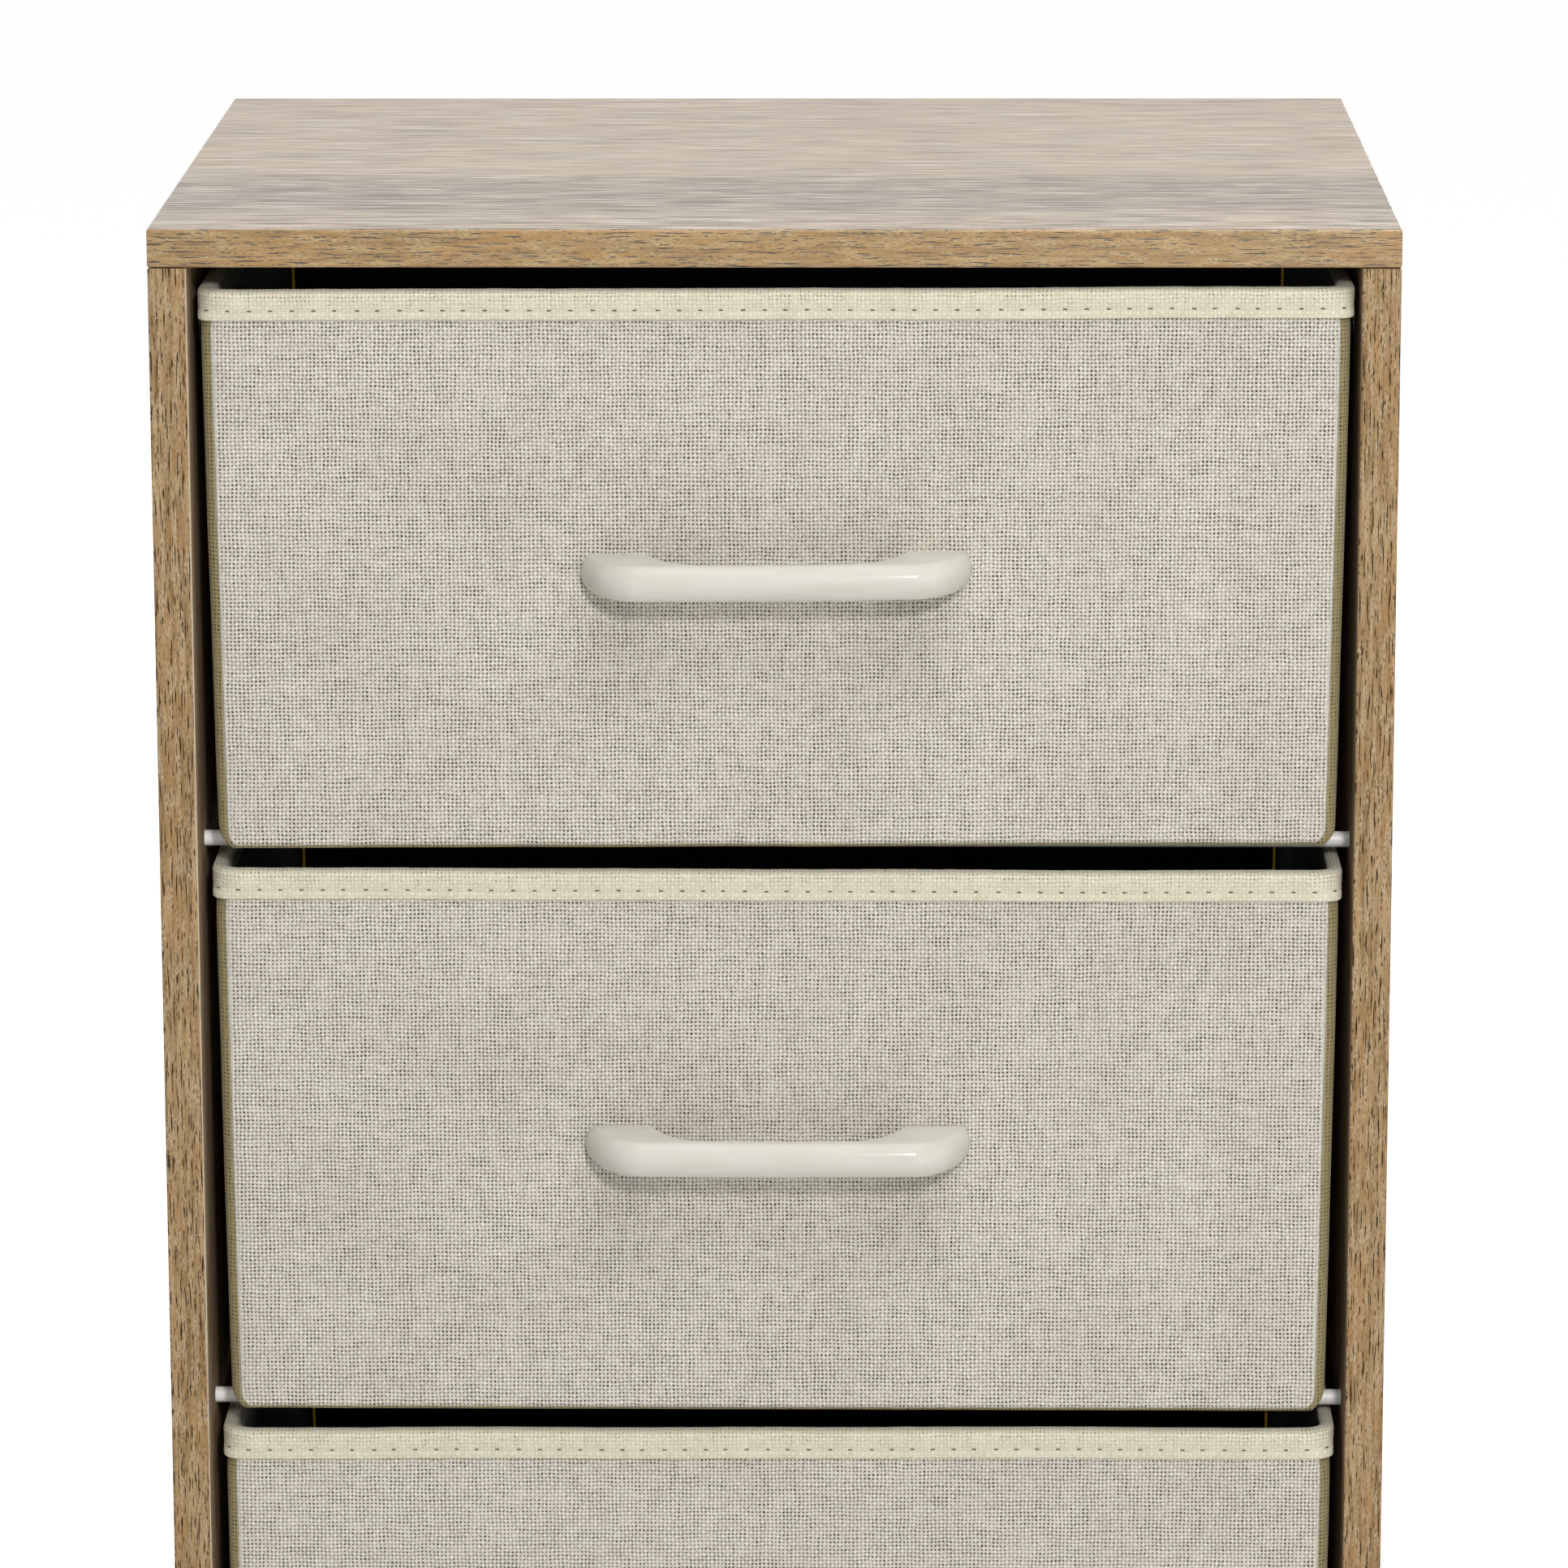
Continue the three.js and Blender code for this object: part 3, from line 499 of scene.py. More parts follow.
def foil(shade, u, v, band):
    """Face foil with a straight embossed grain along u: its colour and its relief. The band is
    how strong its darker stripe is, from 0 to 1."""
    bend = shade.streaks(u, v, (150, 60), 2.0, 1.0)
    bent = v + (bend - 0.5) * (5 * MM)
    hair = shade.streaks(u, bent, (34, 1.7), 0.0, 3.0, 0.7)
    lines = shade.streaks(u, bent, (60, 3.2), 6.0, 3.0, 0.65)
    patch = shade.streaks(u, bent, (42, 10), 9.0, 3.0, 0.6)
    broad = shade.streaks(u, bent, (200, 30), 12.0, 1.0)
    growth = shade.streaks(u, bent, (120, 7), 16.0, 3.0)
    ring = (growth * 8.0).call("FRACT")
    dark_edge = ring.ramp(0.0, 0.08) * (1.0 - ring.ramp(0.12, 0.35))
    light_edge = ring.ramp(0.5, 0.8) * (1.0 - ring.ramp(0.88, 1.0))
    fade = shade.streaks(u, bent, (24, 5), 21.0, 3.0).ramp(0.38, 0.62)
    ragged = bent + (patch - 0.5) * (22 * MM)
    from_band = (ragged - DARK_BAND_MIDDLE).call("ABSOLUTE") / DARK_BAND_HALF
    in_band = (1.0 - from_band.ramp(0.65, 1.15)) * band
    in_front = (DARK_BAND_MIDDLE - DARK_BAND_HALF - bent).ramp(0.0, 8 * MM) * band
    lively = shade.streaks(u, bent, (90, 14), 25.0, 1.0).ramp(0.35, 0.65)
    contrast = (lively * 0.6 + in_band * 0.8 + in_front).call("MINIMUM", 1.0) * 0.6 + 0.4
    grain = (lines.ramp(0.38, 0.62) - 0.5) * contrast + 0.5
    body = shade.mix(grain, rgb(158, 140, 121), rgb(200, 184, 162))
    warm = shade.mix(patch.ramp(0.48, 0.66) * 0.4, body, rgb(202, 174, 136))
    cool = shade.mix((1.0 - patch.ramp(0.32, 0.46)) * 0.3, warm, rgb(172, 163, 155))
    greyed = in_band * 0.66 + in_front * 0.2 + broad.ramp(0.45, 0.65) * 0.12
    banded = shade.mix(greyed, cool, rgb(119, 108, 99))
    speckled = shade.mix((1.0 - hair.ramp(0.36, 0.5)) * contrast * 0.85, banded, rgb(88, 75, 64))
    glinting = shade.mix(hair.ramp(0.5, 0.62) * contrast * 0.6, speckled, rgb(230, 217, 198))
    fuzzy = hair.ramp(0.4, 0.56)
    dark_line = shade.mix(dark_edge * fade * contrast * (1.0 - fuzzy) * 0.9, glinting, rgb(78, 64, 54))
    lightness = light_edge * (1.0 - fade) * contrast * fuzzy * 0.55
    light_line = shade.mix(lightness, dark_line, rgb(230, 218, 202))
    relief = ring * contrast * (0.03 * MM) + hair * (0.04 * MM)
    return light_line, relief


def board(name, along, tones):
    """Laminated board whose grain runs along x or z, with oak edge bands on its narrow faces."""
    shade = Shade(name)
    x, y, z = shade.place()
    nx, _, nz = shade.facing()
    if along == "x":
        edge_colour, pore = grained(shade, x + y, z, tones)
        face_colour, relief = foil(shade, x, y, 1.0)
        on_face = nz.call("ABSOLUTE").ramp(0.8, 0.97)
    else:
        edge_colour, pore = grained(shade, z, x + y, tones)
        face_colour, relief = foil(shade, z, y, 0.0)
        # Upright faces: the foil's oak brown, and darker than the top as painted shade for their inner
        # faces in the dark slots beside the drawers.
        face_colour = shade.mix(0.6, face_colour, rgb(118, 90, 58))
        on_face = nx.call("ABSOLUTE").ramp(0.8, 0.97)
        # Pale line along the left panel's inner arris: its pale core, and a painted highlight on the
        # arris.
        edge_colour = shade.mix(arris_core_and_highlight(x) * 0.6, edge_colour, rgb(212, 202, 184))
    colour = shade.mix(on_face, edge_colour, face_colour)
    shade.bump(relief * on_face - pore * (1.0 - on_face) * (0.06 * MM))
    shade.set(Base_Color=colour, Roughness=0.42, Specular_IOR_Level=0.75 if along == "x" else 0.0)
    return shade.material


def arris_core_and_highlight(x):
    """Where the left panel's front face shows its pale core along the arris beside the opening, with a
    painted highlight on that arris.
    """
    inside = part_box("left_side_panel")[1].x
    from_inside = (x - inside).call("ABSOLUTE")
    return (0.5 * MM - from_inside).ramp(0.0, 0.15 * MM)


def white_plastic():
    shade = Shade("white_moulding")
    x, y, z = shade.place()
    place = shade.vector(x, y, z)
    flow = shade.noise(shade.vector(x / (30 * MM), y / (8 * MM), z / (5 * MM)), 1.0, 2.0)
    grain = shade.noise(place, 2500.0, 2.0)
    colour = shade.mix(flow.ramp(0.3, 0.7), rgb(198, 195, 184), rgb(203, 201, 191))
    shade.bump(flow * (0.015 * MM) + grain * (0.001 * MM))
    shade.set(Base_Color=colour, Roughness=flow * 0.06 + 0.11, Specular_IOR_Level=0.15)
    return shade.material


def mottled(name, texture, first, second, relief, roughness):
    """Plain material of two tones mixed by a fine noise, which also gives its relief."""
    shade = Shade(name)
    grain = shade.noise(shade.vector(*shade.place()), *texture)
    shade.bump(grain * relief)
    shade.set(Base_Color=shade.mix(grain.ramp(0.3, 0.7), first, second), Roughness=roughness)
    return shade.material


def white_coat():
    tones = rgb(238, 237, 232), rgb(245, 244, 240)
    return mottled("white_powder_coat", (900.0, 2.0), *tones, 0.03 * MM, 0.35)


def zinc():
    shade = Shade("zinc_plate")
    x, y, z = shade.place()
    patch = shade.noise(shade.vector(x, y, z), 700.0, 3.0)
    colour = shade.mix(patch.ramp(0.3, 0.7), rgb(176, 178, 182), rgb(206, 207, 206))
    shade.bump(patch * (0.01 * MM))
    shade.set(Base_Color=colour, Metallic=1.0, Roughness=patch * 0.2 + 0.25)
    return shade.material


def beech():
    shade = Shade("beech_peg")
    x, y, z = shade.place()
    grain = shade.noise(shade.vector(x / (9 * MM), y / (0.6 * MM), z / (0.6 * MM)), 1.0, 2.0)
    colour = shade.mix(grain.ramp(0.3, 0.7), rgb(196, 158, 112), rgb(218, 186, 142))
    shade.bump(grain * (0.03 * MM))
    shade.set(Base_Color=colour, Roughness=0.7)
    return shade.material


def fibreboard():
    tones = rgb(126, 118, 104), rgb(158, 150, 136)
    return mottled("grey_fibreboard", (900.0, 4.0, 0.7), *tones, 0.04 * MM, 0.9)


def glide_plastic():
    tones = rgb(50, 47, 44), rgb(66, 62, 58)
    return mottled("dark_glide", (1500.0, 2.0), *tones, 0.02 * MM, 0.5)


MATERIALS = {
    "linen_fabric": linen(),
    "binding_fabric": rim_tape(),
    "black_lining": black_cloth(),
    "handle_plastic": white_plastic(),
    "white_coated_steel": white_coat(),
    "zinc_steel": zinc(),
    "beech_dowel": beech(),
    "greyboard": fibreboard(),
    "glide_plastic": glide_plastic(),
}
THREAD = sewing_thread()
LEVEL_BOARD = board("laminate_along_x", "x", OAK)
UPRIGHT_BOARD = board("laminate_along_z", "z", PINK_OAK)


# Mesh helpers


def add_mesh(name, points, faces, material, smooth_degrees=40):
    mesh = bpy.data.meshes.new(name)
    mesh.from_pydata([tuple(p) for p in points], [], faces)
    mesh.materials.append(material)
    mesh.shade_smooth()
    mesh.set_sharp_from_angle(angle=math.radians(smooth_degrees))
    made = bpy.data.objects.new(name, mesh)
    bpy.context.scene.collection.objects.link(made)
    return made


def set_cloth_places(made, places):
    """Gives each face corner its distance round and up the cloth, listed face by face."""
    layer = made.data.uv_layers.new(name="cloth")
    layer.data.foreach_set("uv", np.array(places, np.float32).ravel())


def set_point_values(made, name, values):
    attribute = made.data.attributes.new(name, "FLOAT", "POINT")
    attribute.data.foreach_set("value", np.array(values, np.float32))


def finish_piece(made, body, slot, *nodes):
    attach(made, body)
    if nodes:
        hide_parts(*nodes)
    return made


# Cloth of one drawer


def smooth_step(low, high, value):
    share = np.clip((value - low) / (high - low), 0, 1)
    return share * share * (3 - 2 * share)


class Drawer:
    """Places of one drawer's cloth, read from its node."""

    def __init__(self, number):
        self.number = number
        self.body = f"drawer_{number}"
        low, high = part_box(f"{self.body}_fabric_box")
        self.floor, self.height = low.z, high.z - low.z
        self.front, self.back = low.y, high.y
        self.half_width = high.x
        self.tape_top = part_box(f"{self.body}_rim_binding")[1].z

    def below_rim(self, down):
        """Height on the cloth at a distance below the top of the tape."""
        return min(self.tape_top - down - self.floor, self.height)

    def corner_radius(self, height):
        flare = smooth_step(self.height - CORNER_FLARE_DEPTH, self.height, height)
        return LOW_CORNER_RADIUS + (RIM_CORNER_RADIUS - LOW_CORNER_RADIUS) * flare

    def outline(self, height, inset, front_inset, steps, eased=True):
        """Closed outline from the back's middle, anticlockwise from above: points, outward
        directions and, for each point, the distance round from the front's middle."""
        share = np.clip(height / self.height, 0, 1)
        lean = WALL_LEAN * (1 - share)
        half = self.half_width - lean - inset
        if eased:
            low_ease, high_ease = SIDE_EASE[self.number]
            half += low_ease + (high_ease - low_ease) * share
        front = self.front + front_inset
        back = self.back - lean - inset
        radius = max(self.corner_radius(height) - inset, LEAST_CORNER_RADIUS)
        corners = [
            (-half + radius, back - radius, 90, steps["back"]),
            (-half + radius, front + radius, 180, steps["side"]),
            (half - radius, front + radius, 270, steps["front"]),
            (half - radius, back - radius, 0, steps["side"]),
        ]
        points, directions = [], []
        previous = np.array([0.0, back])
        previous_direction = np.array([0.0, 1.0])
        for x, y, start, straight in corners:
            first = np.array([x, y]) + radius * heading(start)
            for step in range(straight):
                share = step / straight
                points.append(previous + (first - previous) * share)
                directions.append(previous_direction)
            for step in range(steps["corner"]):
                direction = heading(start + 90 * step / steps["corner"])
                points.append(np.array([x, y]) + radius * direction)
                directions.append(direction)
            previous_direction = heading(start + 90)
            previous = np.array([x, y]) + radius * previous_direction
        for step in range(steps["back"]):
            share = step / steps["back"]
            points.append(previous + (np.array([0.0, back]) - previous) * share)
            directions.append(previous_direction)
        points = np.array(points)
        if eased:
            points[:, 0] += CLOTH_SHIFT
        spans = np.linalg.norm(np.roll(points, -1, axis=0) - points, axis=1)
        around = np.concatenate([[0], np.cumsum(spans)])
        return points, np.array(directions), around - around[-1] / 2


def heading(degrees):
    angle = math.radians(degrees)
    return np.array([math.cos(angle), math.sin(angle)])


BOX_STEPS = {"back": 14, "side": 30, "front": 80, "corner": 10}
BOX_LEVELS = 26
BOX_LEVEL_POWER = 0.9
EDGE_STEPS = 8


def quad(low, high, column, following):
    """Face from one column to the next, between the rings that start at low and at high."""
    return (low + column, low + following, high + following, high + column)


def sheet_faces(rows, columns):
    """Quads of a stack of closed rings, wound to face outwards when the rings go up."""
    faces = []
    for low in range(0, (rows - 1) * columns, columns):
        for column in range(columns):
            faces.append(quad(low, low + columns, column, (column + 1) % columns))
    return faces


def closed_faces(rows, columns):
    """The stack's quads, then a face over its first ring and one over its last."""
    last = (rows - 1) * columns
    first_ring = tuple(range(columns))[::-1]
    last_ring = tuple(range(last, last + columns))
    return sheet_faces(rows, columns) + [first_ring, last_ring]


def sheet_places(around, up):
    """Cloth places for the faces that sheet_faces lists."""
    places = []
    for row in range(len(up) - 1):
        for column in range(len(around[row]) - 1):
            places.append((around[row][column], up[row]))
            places.append((around[row][column + 1], up[row]))
            places.append((around[row + 1][column + 1], up[row + 1]))
            places.append((around[row + 1][column], up[row + 1]))
    return places


def swell(point, direction, drawer):
    """How far the cloth stands off its board at a point, in metres."""
    x, y, height = point
    facing_front = max(0.0, -direction[1])
    from_edge = min(height, drawer.height - height) / SWELL_FADE
    room = min(1.0, max(0.0, from_edge))
    seed = 7.0 * drawer.number
    across, tall = SOFT_PATCH
    soft = noise.noise(Vector((x / across, y / across + seed, height / tall)))
    across, tall = PUCKER_PATCH
    pucker = noise.noise(Vector((x / across, y / across + seed, height / tall + seed)))
    uneven = 0.55 + 0.45 * soft + 0.2 * pucker
    front_swell = PANEL_SWELL * room * uneven * (0.5 + 0.5 * facing_front)
    along_side = smooth_step(drawer.front, drawer.front + SIDE_SWELL_RUN, y)
    along_side *= 1 - smooth_step(drawer.back - SIDE_SWELL_RUN, drawer.back, y)
    return front_swell + SIDE_SWELL * room * along_side * abs(direction[0]) * (0.85 + 0.3 * soft)


def edge_tuck(height, radius):
    """How far a rounded bottom edge has drawn in at a height."""
    below = max(0.0, radius - height)
    return radius - math.sqrt(radius ** 2 - below ** 2)


def front_sag(x, height, direction, drawer):
    """How far the front's lower edge hangs below the base, in front of the rods."""
    facing_front = max(0.0, -direction[1])
    wave = noise.noise(Vector((x / FRONT_SAG_WAVE_LENGTH, 5.0 * drawer.number, 0.0)))
    at_left, at_right = FRONT_SAG[drawer.number]
    share = 0.5 + 0.5 * x / drawer.half_width
    hang = at_left + (at_right - at_left) * share + FRONT_SAG_WAVE * wave
    return hang * facing_front * (1 - smooth_step(0, FRONT_SAG_HEIGHT, height))


def cloth_box(drawer):
    """Outer box of woven cloth, with a separate front panel that stands a little proud."""
    levels = [BASE_SIDE_RADIUS * (1 - math.cos(math.radians(90 * step / EDGE_STEPS)))
              for step in range(EDGE_STEPS + 1)]
    for step in range(1, BOX_LEVELS + 1):
        share = (step / BOX_LEVELS) ** BOX_LEVEL_POWER
        levels.append(BASE_SIDE_RADIUS + (drawer.height - BASE_SIDE_RADIUS) * share)
    margin = UNDERSIDE_MARGIN
    outline, _, distance = drawer.outline(0.0, margin, margin, BOX_STEPS)
    points = [(x, y, drawer.floor) for x, y in outline]
    around, up, seam = [distance], [-margin], [1.0] * len(points)
    for height in levels:
        side_tuck = edge_tuck(height, BASE_SIDE_RADIUS)
        front_tuck = edge_tuck(height, BASE_FRONT_RADIUS)
        outline, directions, distance = drawer.outline(height, side_tuck, front_tuck, BOX_STEPS)
        flare = smooth_step(drawer.height - CORNER_FLARE_DEPTH, drawer.height, height)
        seam_x = outline[:, 0].max() - SEAM_FROM_SIDE - SEAM_FLARE * flare
        stations = distance[:-1]
        front_half = (directions[:, 1] < -0.05) & (stations >= 0)
        seam_place = np.interp(seam_x, outline[front_half, 0], stations[front_half])
        for (x, y), direction, station in zip(outline, directions, stations):
            inside = seam_place - abs(station)
            panel = smooth_step(0, PANEL_STEP_WIDTH, inside)
            panel *= smooth_step(WELT_HEIGHT, WELT_HEIGHT + PANEL_STEP_WIDTH, height)
            lift = PANEL_STEP * panel + swell((x, y, height), direction, drawer)
            z = drawer.floor + height - front_sag(x, height, direction, drawer)
            seam.append(inside)
            points.append((x + direction[0] * lift, y + direction[1] * lift, z))
        around.append(distance)
        up.append(height)
    rows = len(levels) + 1
    columns = len(points) // rows
    inner_levels = [drawer.height, drawer.height / 2]
    inner_levels += [BASE_SIDE_RADIUS, BASE_SIDE_RADIUS / 2, CLOTH_THICKNESS]
    for height in inner_levels:
        side_inset = CLOTH_THICKNESS + edge_tuck(height, BASE_SIDE_RADIUS)
        front_inset = CLOTH_THICKNESS + edge_tuck(height, BASE_FRONT_RADIUS)
        outline, _, distance = drawer.outline(height, side_inset, front_inset, BOX_STEPS)
        points.extend((x, y, drawer.floor + height) for x, y in outline)
        seam.extend([1.0] * columns)
        around.append(distance)
        up.append(height)
    faces = closed_faces(rows + len(inner_levels), columns)
    places = sheet_places(around, up)
    for ring in faces[-2:]:
        places.extend(points[index][:2] for index in ring)
    made = add_mesh(f"{drawer.body}_cloth", points, faces, MATERIALS["linen_fabric"])
    set_cloth_places(made, places)
    set_point_values(made, "seam", seam)
    return finish_piece(made, drawer.body, "linen_fabric", f"{drawer.body}_fabric_box")


TAPE_STEPS = {"back": 40, "side": 100, "front": 480, "corner": 18}


def tape_section(inside):
    """Section of the folded tape as (outward, down) pairs, from its outer lower fold over the
    rim to its inner lower fold and back along the hollow for the cloth."""
    out = TAPE_STANDOFF
    drop = TAPE_DROP
    section = [(out * 0.3, drop - 0.15 * MM), (out * 0.75, drop), (out * 0.92, drop - 0.2 * MM)]
    section += [(out * 0.95, drop - 0.9 * MM), (out * 0.93, drop - 2.1 * MM)]
    section += [(out * 0.84, STITCH_DROP + 0.35 * MM), (out * STITCH_OUT_SHARE, STITCH_DROP)]
    section += [(out * 0.84, STITCH_DROP - 0.4 * MM)]
    section += [(out * 0.96, STITCH_DROP - 1.4 * MM), (out * 1.0, STITCH_DROP - 3.4 * MM)]
    middle = (out - inside) / 2
    half = (out + inside) / 2
    for step in range(TAPE_ROLL_STEPS + 1):
        angle = math.radians(180 * step / TAPE_ROLL_STEPS)
        section.append((middle + half * math.cos(angle), TAPE_ROLL * (1 - math.sin(angle))))
    section += [(-inside, STITCH_DROP), (-inside, drop), (-inside + TAPE_THICKNESS, drop)]
    section += [(-inside + TAPE_THICKNESS, TAPE_HOLLOW_TOP), (TAPE_HOLLOW_GAP, TAPE_HOLLOW_TOP)]
    section += [(TAPE_HOLLOW_GAP, drop - 0.3 * MM)]
    return section


def rim_wave(x, y, drawer):
    """Small rise and fall of the rim along its length, and its slope from left to right."""
    seed = 3.0 * drawer.number
    slow = noise.noise(Vector((x / RIM_SLOW_LENGTH, y / RIM_SLOW_LENGTH, seed)))
    quick = noise.noise(Vector((x / RIM_QUICK_LENGTH, y / RIM_QUICK_LENGTH, seed)))
    rise = RIM_RISE[drawer.number] + RIM_SLOPE[drawer.number] * x / drawer.half_width
    return RIM_SLOW_WAVE * slow + RIM_QUICK_WAVE * quick + rise


def rim_roughness(x, y, drawer):
    """Unevenness of the tape where its threads turn over the rim."""
    length = TAPE_ROUGHNESS_LENGTH
    return TAPE_ROUGHNESS * noise.noise(Vector((x / length, y / length, 2.0 * drawer.number)))


def tape(drawer):
    side_section = tape_section(TAPE_SIDE_INSIDE + SIDE_EASE[drawer.number][1])
    front_section = tape_section(TAPE_FRONT_INSIDE)
    lengths = [0.0]
    for first, second in zip(side_section, side_section[1:]):
        lengths.append(lengths[-1] + math.dist(first, second))
    start = lengths[2]
    points, around, up = [], [], []
    for index, ((side_out, down), (front_out, _)) in enumerate(zip(side_section, front_section)):
        outline, directions, distance = drawer.outline(drawer.below_rim(down), 0.0, 0.0, TAPE_STEPS)
        flare = TAPE_CORNER_FLARE * (down / TAPE_DROP) ** 2 if side_out > 0 else 0.0
        for (x, y), direction in zip(outline, directions):
            share = max(0.0, -direction[1]) ** 2
            at_corner = 4 * (direction[0] * direction[1]) ** 2
            out = side_out + (front_out - side_out) * share + flare * at_corner
            z = drawer.tape_top - down + rim_wave(x, y, drawer)
            if down < TAPE_ROUGH_DROP:
                z += rim_roughness(x, y, drawer)
            points.append((x + direction[0] * out, y + direction[1] * out, z))
        around.append(distance)
        up.append(lengths[index] - start - TAPE_DROP + TAPE_PLACE_SHIFT)
    rows = len(side_section)
    columns = len(outline)
    faces = sheet_faces(rows, columns)
    places = sheet_places(around, up)
    for column in range(columns):
        faces.append(quad((rows - 1) * columns, 0, column, (column + 1) % columns))
        places.extend([(0.0, 0.0)] * 4)
    made = add_mesh(f"{drawer.body}_tape", points, faces, MATERIALS["binding_fabric"], 60)
    set_cloth_places(made, places)
    return finish_piece(made, drawer.body, "binding_fabric", f"{drawer.body}_rim_binding")


THREAD_STEP = 0.5 * MM
THREAD_SIDES = 6


def stitching(drawer):
    """Running stitch along the tape: a thread that lies on it and dips at each needle hole."""
    height = drawer.below_rim(STITCH_DROP)
    outline, directions, distance = drawer.outline(height, 0.0, 0.0, TAPE_STEPS)
    count = int((distance[-1] - distance[0]) / THREAD_STEP)
    stations = distance[0] + (distance[-1] - distance[0]) * np.arange(count) / count
    closed = np.vstack([outline, outline[:1]])
    closed_directions = np.vstack([directions, directions[:1]])
    x = np.interp(stations, distance, closed[:, 0])
    y = np.interp(stations, distance, closed[:, 1])
    out_x = np.interp(stations, distance, closed_directions[:, 0])
    out_y = np.interp(stations, distance, closed_directions[:, 1])
    along = np.abs((stations / STITCH_PITCH) % 1 - 0.5)
    lift = smooth_step(0.5 * STITCH_GAP_SHARE - 0.03, 0.5 * STITCH_GAP_SHARE + 0.06, along)
    out = TAPE_STANDOFF * STITCH_OUT_SHARE - THREAD_SINK + THREAD_LIFT * lift
    rise = np.array([rim_wave(a, b, drawer) for a, b in zip(x, y)])
    points = []
    for side in range(THREAD_SIDES):
        angle = 2 * math.pi * side / THREAD_SIDES
        reach = out + THREAD_RADIUS * math.cos(angle)
        z = drawer.tape_top - STITCH_DROP + THREAD_RADIUS * math.sin(angle) + rise
        points.append(np.column_stack([x + out_x * reach, y + out_y * reach, z]))
    points = np.concatenate(points)
    faces = []
    for side in range(THREAD_SIDES):
        other = (side + 1) % THREAD_SIDES
        for step in range(count):
            faces.append(quad(side * count, other * count, step, (step + 1) % count))
    made = add_mesh(f"{drawer.body}_stitching", points, faces, THREAD)
    return finish_piece(made, drawer.body, "binding_fabric")


LINING_INSET = 2.3 * MM
LINING_FRONT_INSET = 4.2 * MM
LINING_THICKNESS = 0.4 * MM
LINING_FLOOR = 1.1 * MM
LINING_BASE_TUCK = 1.2 * MM
LINING_STEPS = {"back": 10, "side": 24, "front": 24, "corner": 6}
LINING_SLOT_COLUMNS = (1, 2, 3, 4)
LINING_LEVELS = 8


def lining(drawer):
    """Black inner cloth, open for a narrow strip at the two back corners."""
    heights = [LINING_FLOOR]
    for step in range(1, LINING_LEVELS + 1):
        heights.append(LINING_FLOOR + (drawer.height - LINING_FLOOR) * step / LINING_LEVELS)
    points, rows = [], []
    for face_inset in (0.0, LINING_THICKNESS):
        front_inset = LINING_FRONT_INSET + face_inset
        for height in heights:
            at_floor = height == LINING_FLOOR
            side_inset = LINING_INSET + face_inset + (LINING_BASE_TUCK if at_floor else 0.0)
            outline = drawer.outline(height, side_inset, front_inset, LINING_STEPS, eased=False)[0]
            rows.append(len(points))
            z = drawer.floor + height + (face_inset if at_floor else 0.0)
            points.extend((x, y, z) for x, y in outline)
    columns = len(points) // len(rows)
    levels = len(heights)
    corners = (LINING_STEPS["back"], columns - LINING_STEPS["back"] - LINING_STEPS["corner"])
    open_columns = {corner + step for corner in corners for step in LINING_SLOT_COLUMNS}
    faces = []
    for column in range(columns):
        following = (column + 1) % columns
        for level in range(levels - 1):
            low, high = rows[level], rows[level + 1]
            inner_low, inner_high = rows[levels + level], rows[levels + level + 1]
            if column in open_columns:
                continue
            faces.append(quad(low, high, column, following))
            faces.append(quad(inner_low, inner_high, following, column))
            if following in open_columns:
                edge = (low, inner_low, inner_high, high)
                faces.append(tuple(row + following for row in edge))
            if (column - 1) % columns in open_columns:
                edge = (inner_low, low, high, inner_high)
                faces.append(tuple(row + column for row in edge))
        if column not in open_columns:
            faces.append(quad(rows[levels - 1], rows[-1], column, following))
        else:
            faces.append(quad(rows[0], rows[levels], column, following))
    faces.append(tuple(rows[0] + column for column in range(columns))[::-1])
    faces.append(tuple(rows[levels] + column for column in range(columns)))
    made = add_mesh(f"{drawer.body}_inner_cloth", points, faces, MATERIALS["black_lining"])
    return finish_piece(made, drawer.body, "black_lining", f"{drawer.body}_lining")


# Handle

END_STEPS = 24
BAR_STEPS = 20
GRIP_STEPS = 56
SECTION_STEPS = 16


def handle_outline(bulge):
    """Plan outline at one level: both ends and the bar swell by the bulge, the grip doesn't."""
    bar = HANDLE_OUTER_REACH - HANDLE_END_LENGTH
    power = 2 / HANDLE_END_POWER
    points = []
    for step in range(END_STEPS):
        angle = math.radians(90 * step / END_STEPS)
        x = bar + (HANDLE_END_LENGTH + bulge) * math.cos(angle) ** power
        points.append((-x, (HANDLE_PROJECTION + bulge) * math.sin(angle) ** power))
    for step in range(BAR_STEPS + 1):
        share = 2 * step / BAR_STEPS - 1
        points.append((share * bar, HANDLE_PROJECTION + bulge + HANDLE_BOW * (1 - share ** 2)))
    for step in reversed(range(END_STEPS)):
        x, reach = points[step]
        points.append((-x, reach))
    for step in range(GRIP_STEPS + 1):
        share = math.cos(math.pi * step / GRIP_STEPS)
        reach = HANDLE_GRIP_DEPTH * (1 - abs(share) ** HANDLE_GRIP_POWER)
        points.append((share * HANDLE_INNER_REACH, reach))
    return points


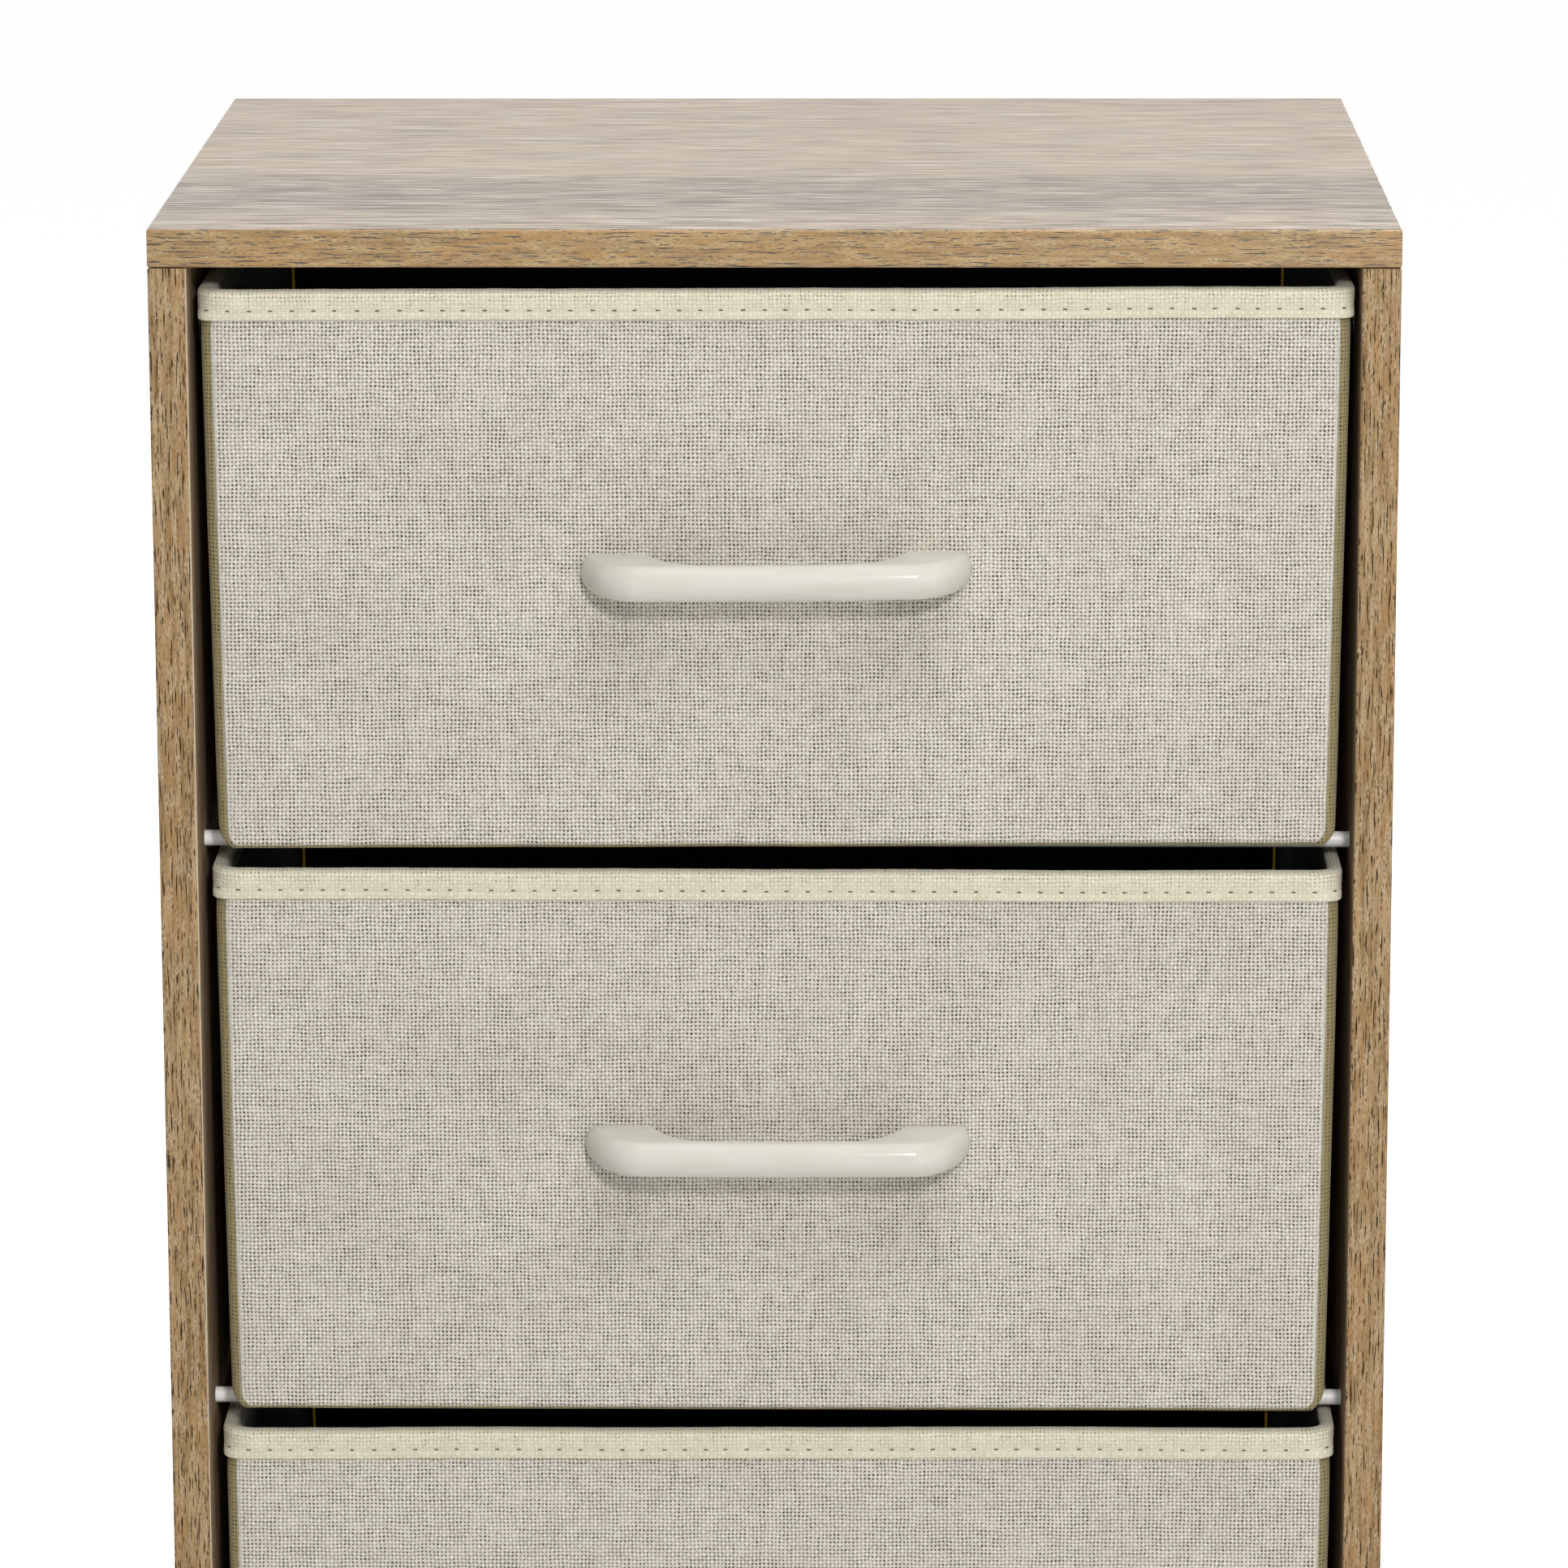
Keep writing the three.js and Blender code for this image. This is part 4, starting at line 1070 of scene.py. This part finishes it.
def handle(drawer):
    low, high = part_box(f"{drawer.body}_handle")
    middle = (low.z + high.z) / 2
    half = HANDLE_HEIGHT / 2
    crown = (half ** 2 + HANDLE_BULGE ** 2) / (2 * HANDLE_BULGE)
    slope = HANDLE_SLOPE[drawer.number]
    points = []
    for step in range(SECTION_STEPS + 1):
        height = -half * math.cos(math.pi * step / SECTION_STEPS)
        bulge = math.sqrt(crown ** 2 - height ** 2) - (crown - HANDLE_BULGE)
        level = middle + height
        for x, reach in handle_outline(bulge):
            points.append((x + HANDLE_SHIFT, high.y - reach, level + slope * x))
    rows = SECTION_STEPS + 1
    faces = [face[::-1] for face in closed_faces(rows, len(points) // rows)]
    material = MATERIALS["handle_plastic"]
    made = add_mesh(f"{drawer.body}_pull", points, faces, material, HANDLE_EDGE_DEGREES)
    soften = made.modifiers.new("edges", "BEVEL")
    soften.width = HANDLE_EDGE_RADIUS
    soften.segments = HANDLE_EDGE_STEPS
    soften.limit_method = "ANGLE"
    soften.angle_limit = math.radians(HANDLE_EDGE_DEGREES)
    soften.use_clamp_overlap = True
    return finish_piece(made, drawer.body, "handle_plastic", f"{drawer.body}_handle")


# Rods

ROD_SIDES = 48
ROD_CHAMFER = 0.4 * MM


def rod(name):
    low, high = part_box(name)
    radius = (high.z - low.z) / 2
    y, z = (low.y + high.y) / 2, (low.z + high.z) / 2
    stations = [(low.x, radius - ROD_CHAMFER), (low.x + ROD_CHAMFER, radius),
                (high.x - ROD_CHAMFER, radius), (high.x, radius - ROD_CHAMFER)]
    points = []
    for x, reach in stations:
        for side in range(ROD_SIDES):
            angle = 2 * math.pi * side / ROD_SIDES
            points.append((x, y + reach * math.cos(angle), z + reach * math.sin(angle)))
    faces = closed_faces(len(stations), ROD_SIDES)
    made = add_mesh(f"{name}_bar", points, faces, MATERIALS["white_coated_steel"], 35)
    return finish_piece(made, "cabinet", "white_coated_steel", name)


# Finishes of the CAD nodes that stay


def dress_nodes():
    slots = {part["node"]: part["material_slot"] for part in frame["record"]["subparts"]}
    for name, node in frame["nodes"].items():
        if name.endswith("_side_panel"):
            material = UPRIGHT_BOARD
        elif name == "top_panel" or name.endswith("_bottom_rail"):
            material = LEVEL_BOARD
        else:
            material = MATERIALS[slots[name]]
        for slot in node.material_slots:
            slot.material = material


# Stage, light and camera

FLOOR_REACH = 12
FLOOR_COLOUR = (0.78, 0.78, 0.78, 1)
FLOOR_GLOW = 0.95
FLOOR_SHADOW_COLOUR = (0.2, 0.2, 0.2, 1)


def shown_rays(tree):
    """Socket that is 1 for camera, mirror and glass rays and 0 for the rest."""
    rays = tree.nodes.new("ShaderNodeLightPath")
    shown = rays.outputs["Is Camera Ray"]
    for key in ("Is Glossy Ray", "Is Transmission Ray"):
        either = tree.nodes.new("ShaderNodeMath")
        either.operation = "MAXIMUM"
        tree.links.new(shown, either.inputs[0])
        tree.links.new(rays.outputs[key], either.inputs[1])
        shown = either.outputs[0]
    return shown


def floor():
    """Pale floor that camera, mirror and glass rays see as white, with the shadow kept."""
    shade = Shade("pale_floor")
    shade.tree.nodes.remove(shade.shader)
    pale = shade.node("ShaderNodeBsdfDiffuse")
    pale.inputs["Color"].default_value = FLOOR_COLOUR
    shadowed = shade.node("ShaderNodeBsdfDiffuse")
    shadowed.inputs["Color"].default_value = FLOOR_SHADOW_COLOUR
    glow = shade.node("ShaderNodeEmission")
    glow.inputs["Strength"].default_value = FLOOR_GLOW
    white = shade.node("ShaderNodeAddShader")
    shade.tree.links.new(shadowed.outputs[0], white.inputs[0])
    shade.tree.links.new(glow.outputs[0], white.inputs[1])
    share = mix_shaders(shade.tree, pale, white, shade.output)
    shade.tree.links.new(shown_rays(shade.tree), share)
    mesh = bpy.data.meshes.new("floor")
    reach = FLOOR_REACH
    corners = [(-reach, -reach, 0), (reach, -reach, 0), (reach, reach, 0), (-reach, reach, 0)]
    mesh.from_pydata(corners, [], [(0, 1, 2, 3)])
    mesh.materials.append(shade.material)
    made = bpy.data.objects.new("floor", mesh)
    bpy.context.scene.collection.objects.link(made)


WORLD_STRENGTH = 0.14


def world():
    made = bpy.data.worlds.new("studio")
    bpy.context.scene.world = made
    made.use_nodes = True
    nodes = made.node_tree.nodes
    ambient = nodes["Background"]
    ambient.inputs["Color"].default_value = (1, 1, 1, 1)
    ambient.inputs["Strength"].default_value = WORLD_STRENGTH
    white = nodes.new("ShaderNodeBackground")
    white.inputs["Strength"].default_value = 1.0
    white.inputs["Color"].default_value = (1, 1, 1, 1)
    share = mix_shaders(made.node_tree, ambient, white, nodes["World Output"])
    made.node_tree.links.new(shown_rays(made.node_tree), share)


def softbox(name, place, target, width, height, power):
    data = bpy.data.lights.new(name, "AREA")
    data.shape = "RECTANGLE"
    data.size, data.size_y = width, height
    data.energy = power
    made = bpy.data.objects.new(name, data)
    made.location = place
    made.rotation_euler = (Vector(target) - Vector(place)).to_track_quat("-Z", "Y").to_euler()
    bpy.context.scene.collection.objects.link(made)


MIDDLE = (0.0, -0.1, 0.4)

# Each lamp's place, the point that it faces, its width, its height and its power
LAMPS = {
    "key": ((0.44, -2.58, 1.67), MIDDLE, 0.24, 0.3, 38),
    "fill": ((1.1, -2.4, 0.35), (0.0, -0.1, 0.2), 1.0, 0.6, 8),
    "overhead": ((0.3, -1.1, 2.6), MIDDLE, 1.8, 1.8, 34),
    "left": ((-2.6, 0.7, 1.0), MIDDLE, 1.4, 1.4, 34),
    "right": ((2.6, 0.7, 1.0), MIDDLE, 1.4, 1.4, 34),
    "rear": ((0.4, 2.6, 0.25), (0.0, 0.15, 0.35), 1.2, 0.4, 60),
}


def lights():
    for name, values in LAMPS.items():
        softbox(name, *values)


def camera():
    data = bpy.data.cameras.new("photo_view")
    data.sensor_width = CAMERA_SENSOR
    data.sensor_fit = "HORIZONTAL"
    data.lens = CAMERA_LENS
    data.shift_y = CAMERA_SHIFT_Y
    data.clip_start, data.clip_end = CAMERA_CLIP
    made = bpy.data.objects.new("photo_view", data)
    made.location = CAMERA_PLACE
    made.rotation_euler = Euler([math.radians(angle) for angle in CAMERA_TURN_DEGREES])
    bpy.context.scene.collection.objects.link(made)
    bpy.context.scene.camera = made


camera()
world()
lights()
floor()
dress_nodes()
for number in DRAWERS:
    drawer = Drawer(number)
    cloth_box(drawer)
    tape(drawer)
    stitching(drawer)
    lining(drawer)
    handle(drawer)
    for end in ("front", "rear"):
        rod(f"{end}_rod_{number}")

bpy.context.scene.view_settings.view_transform = "Standard"
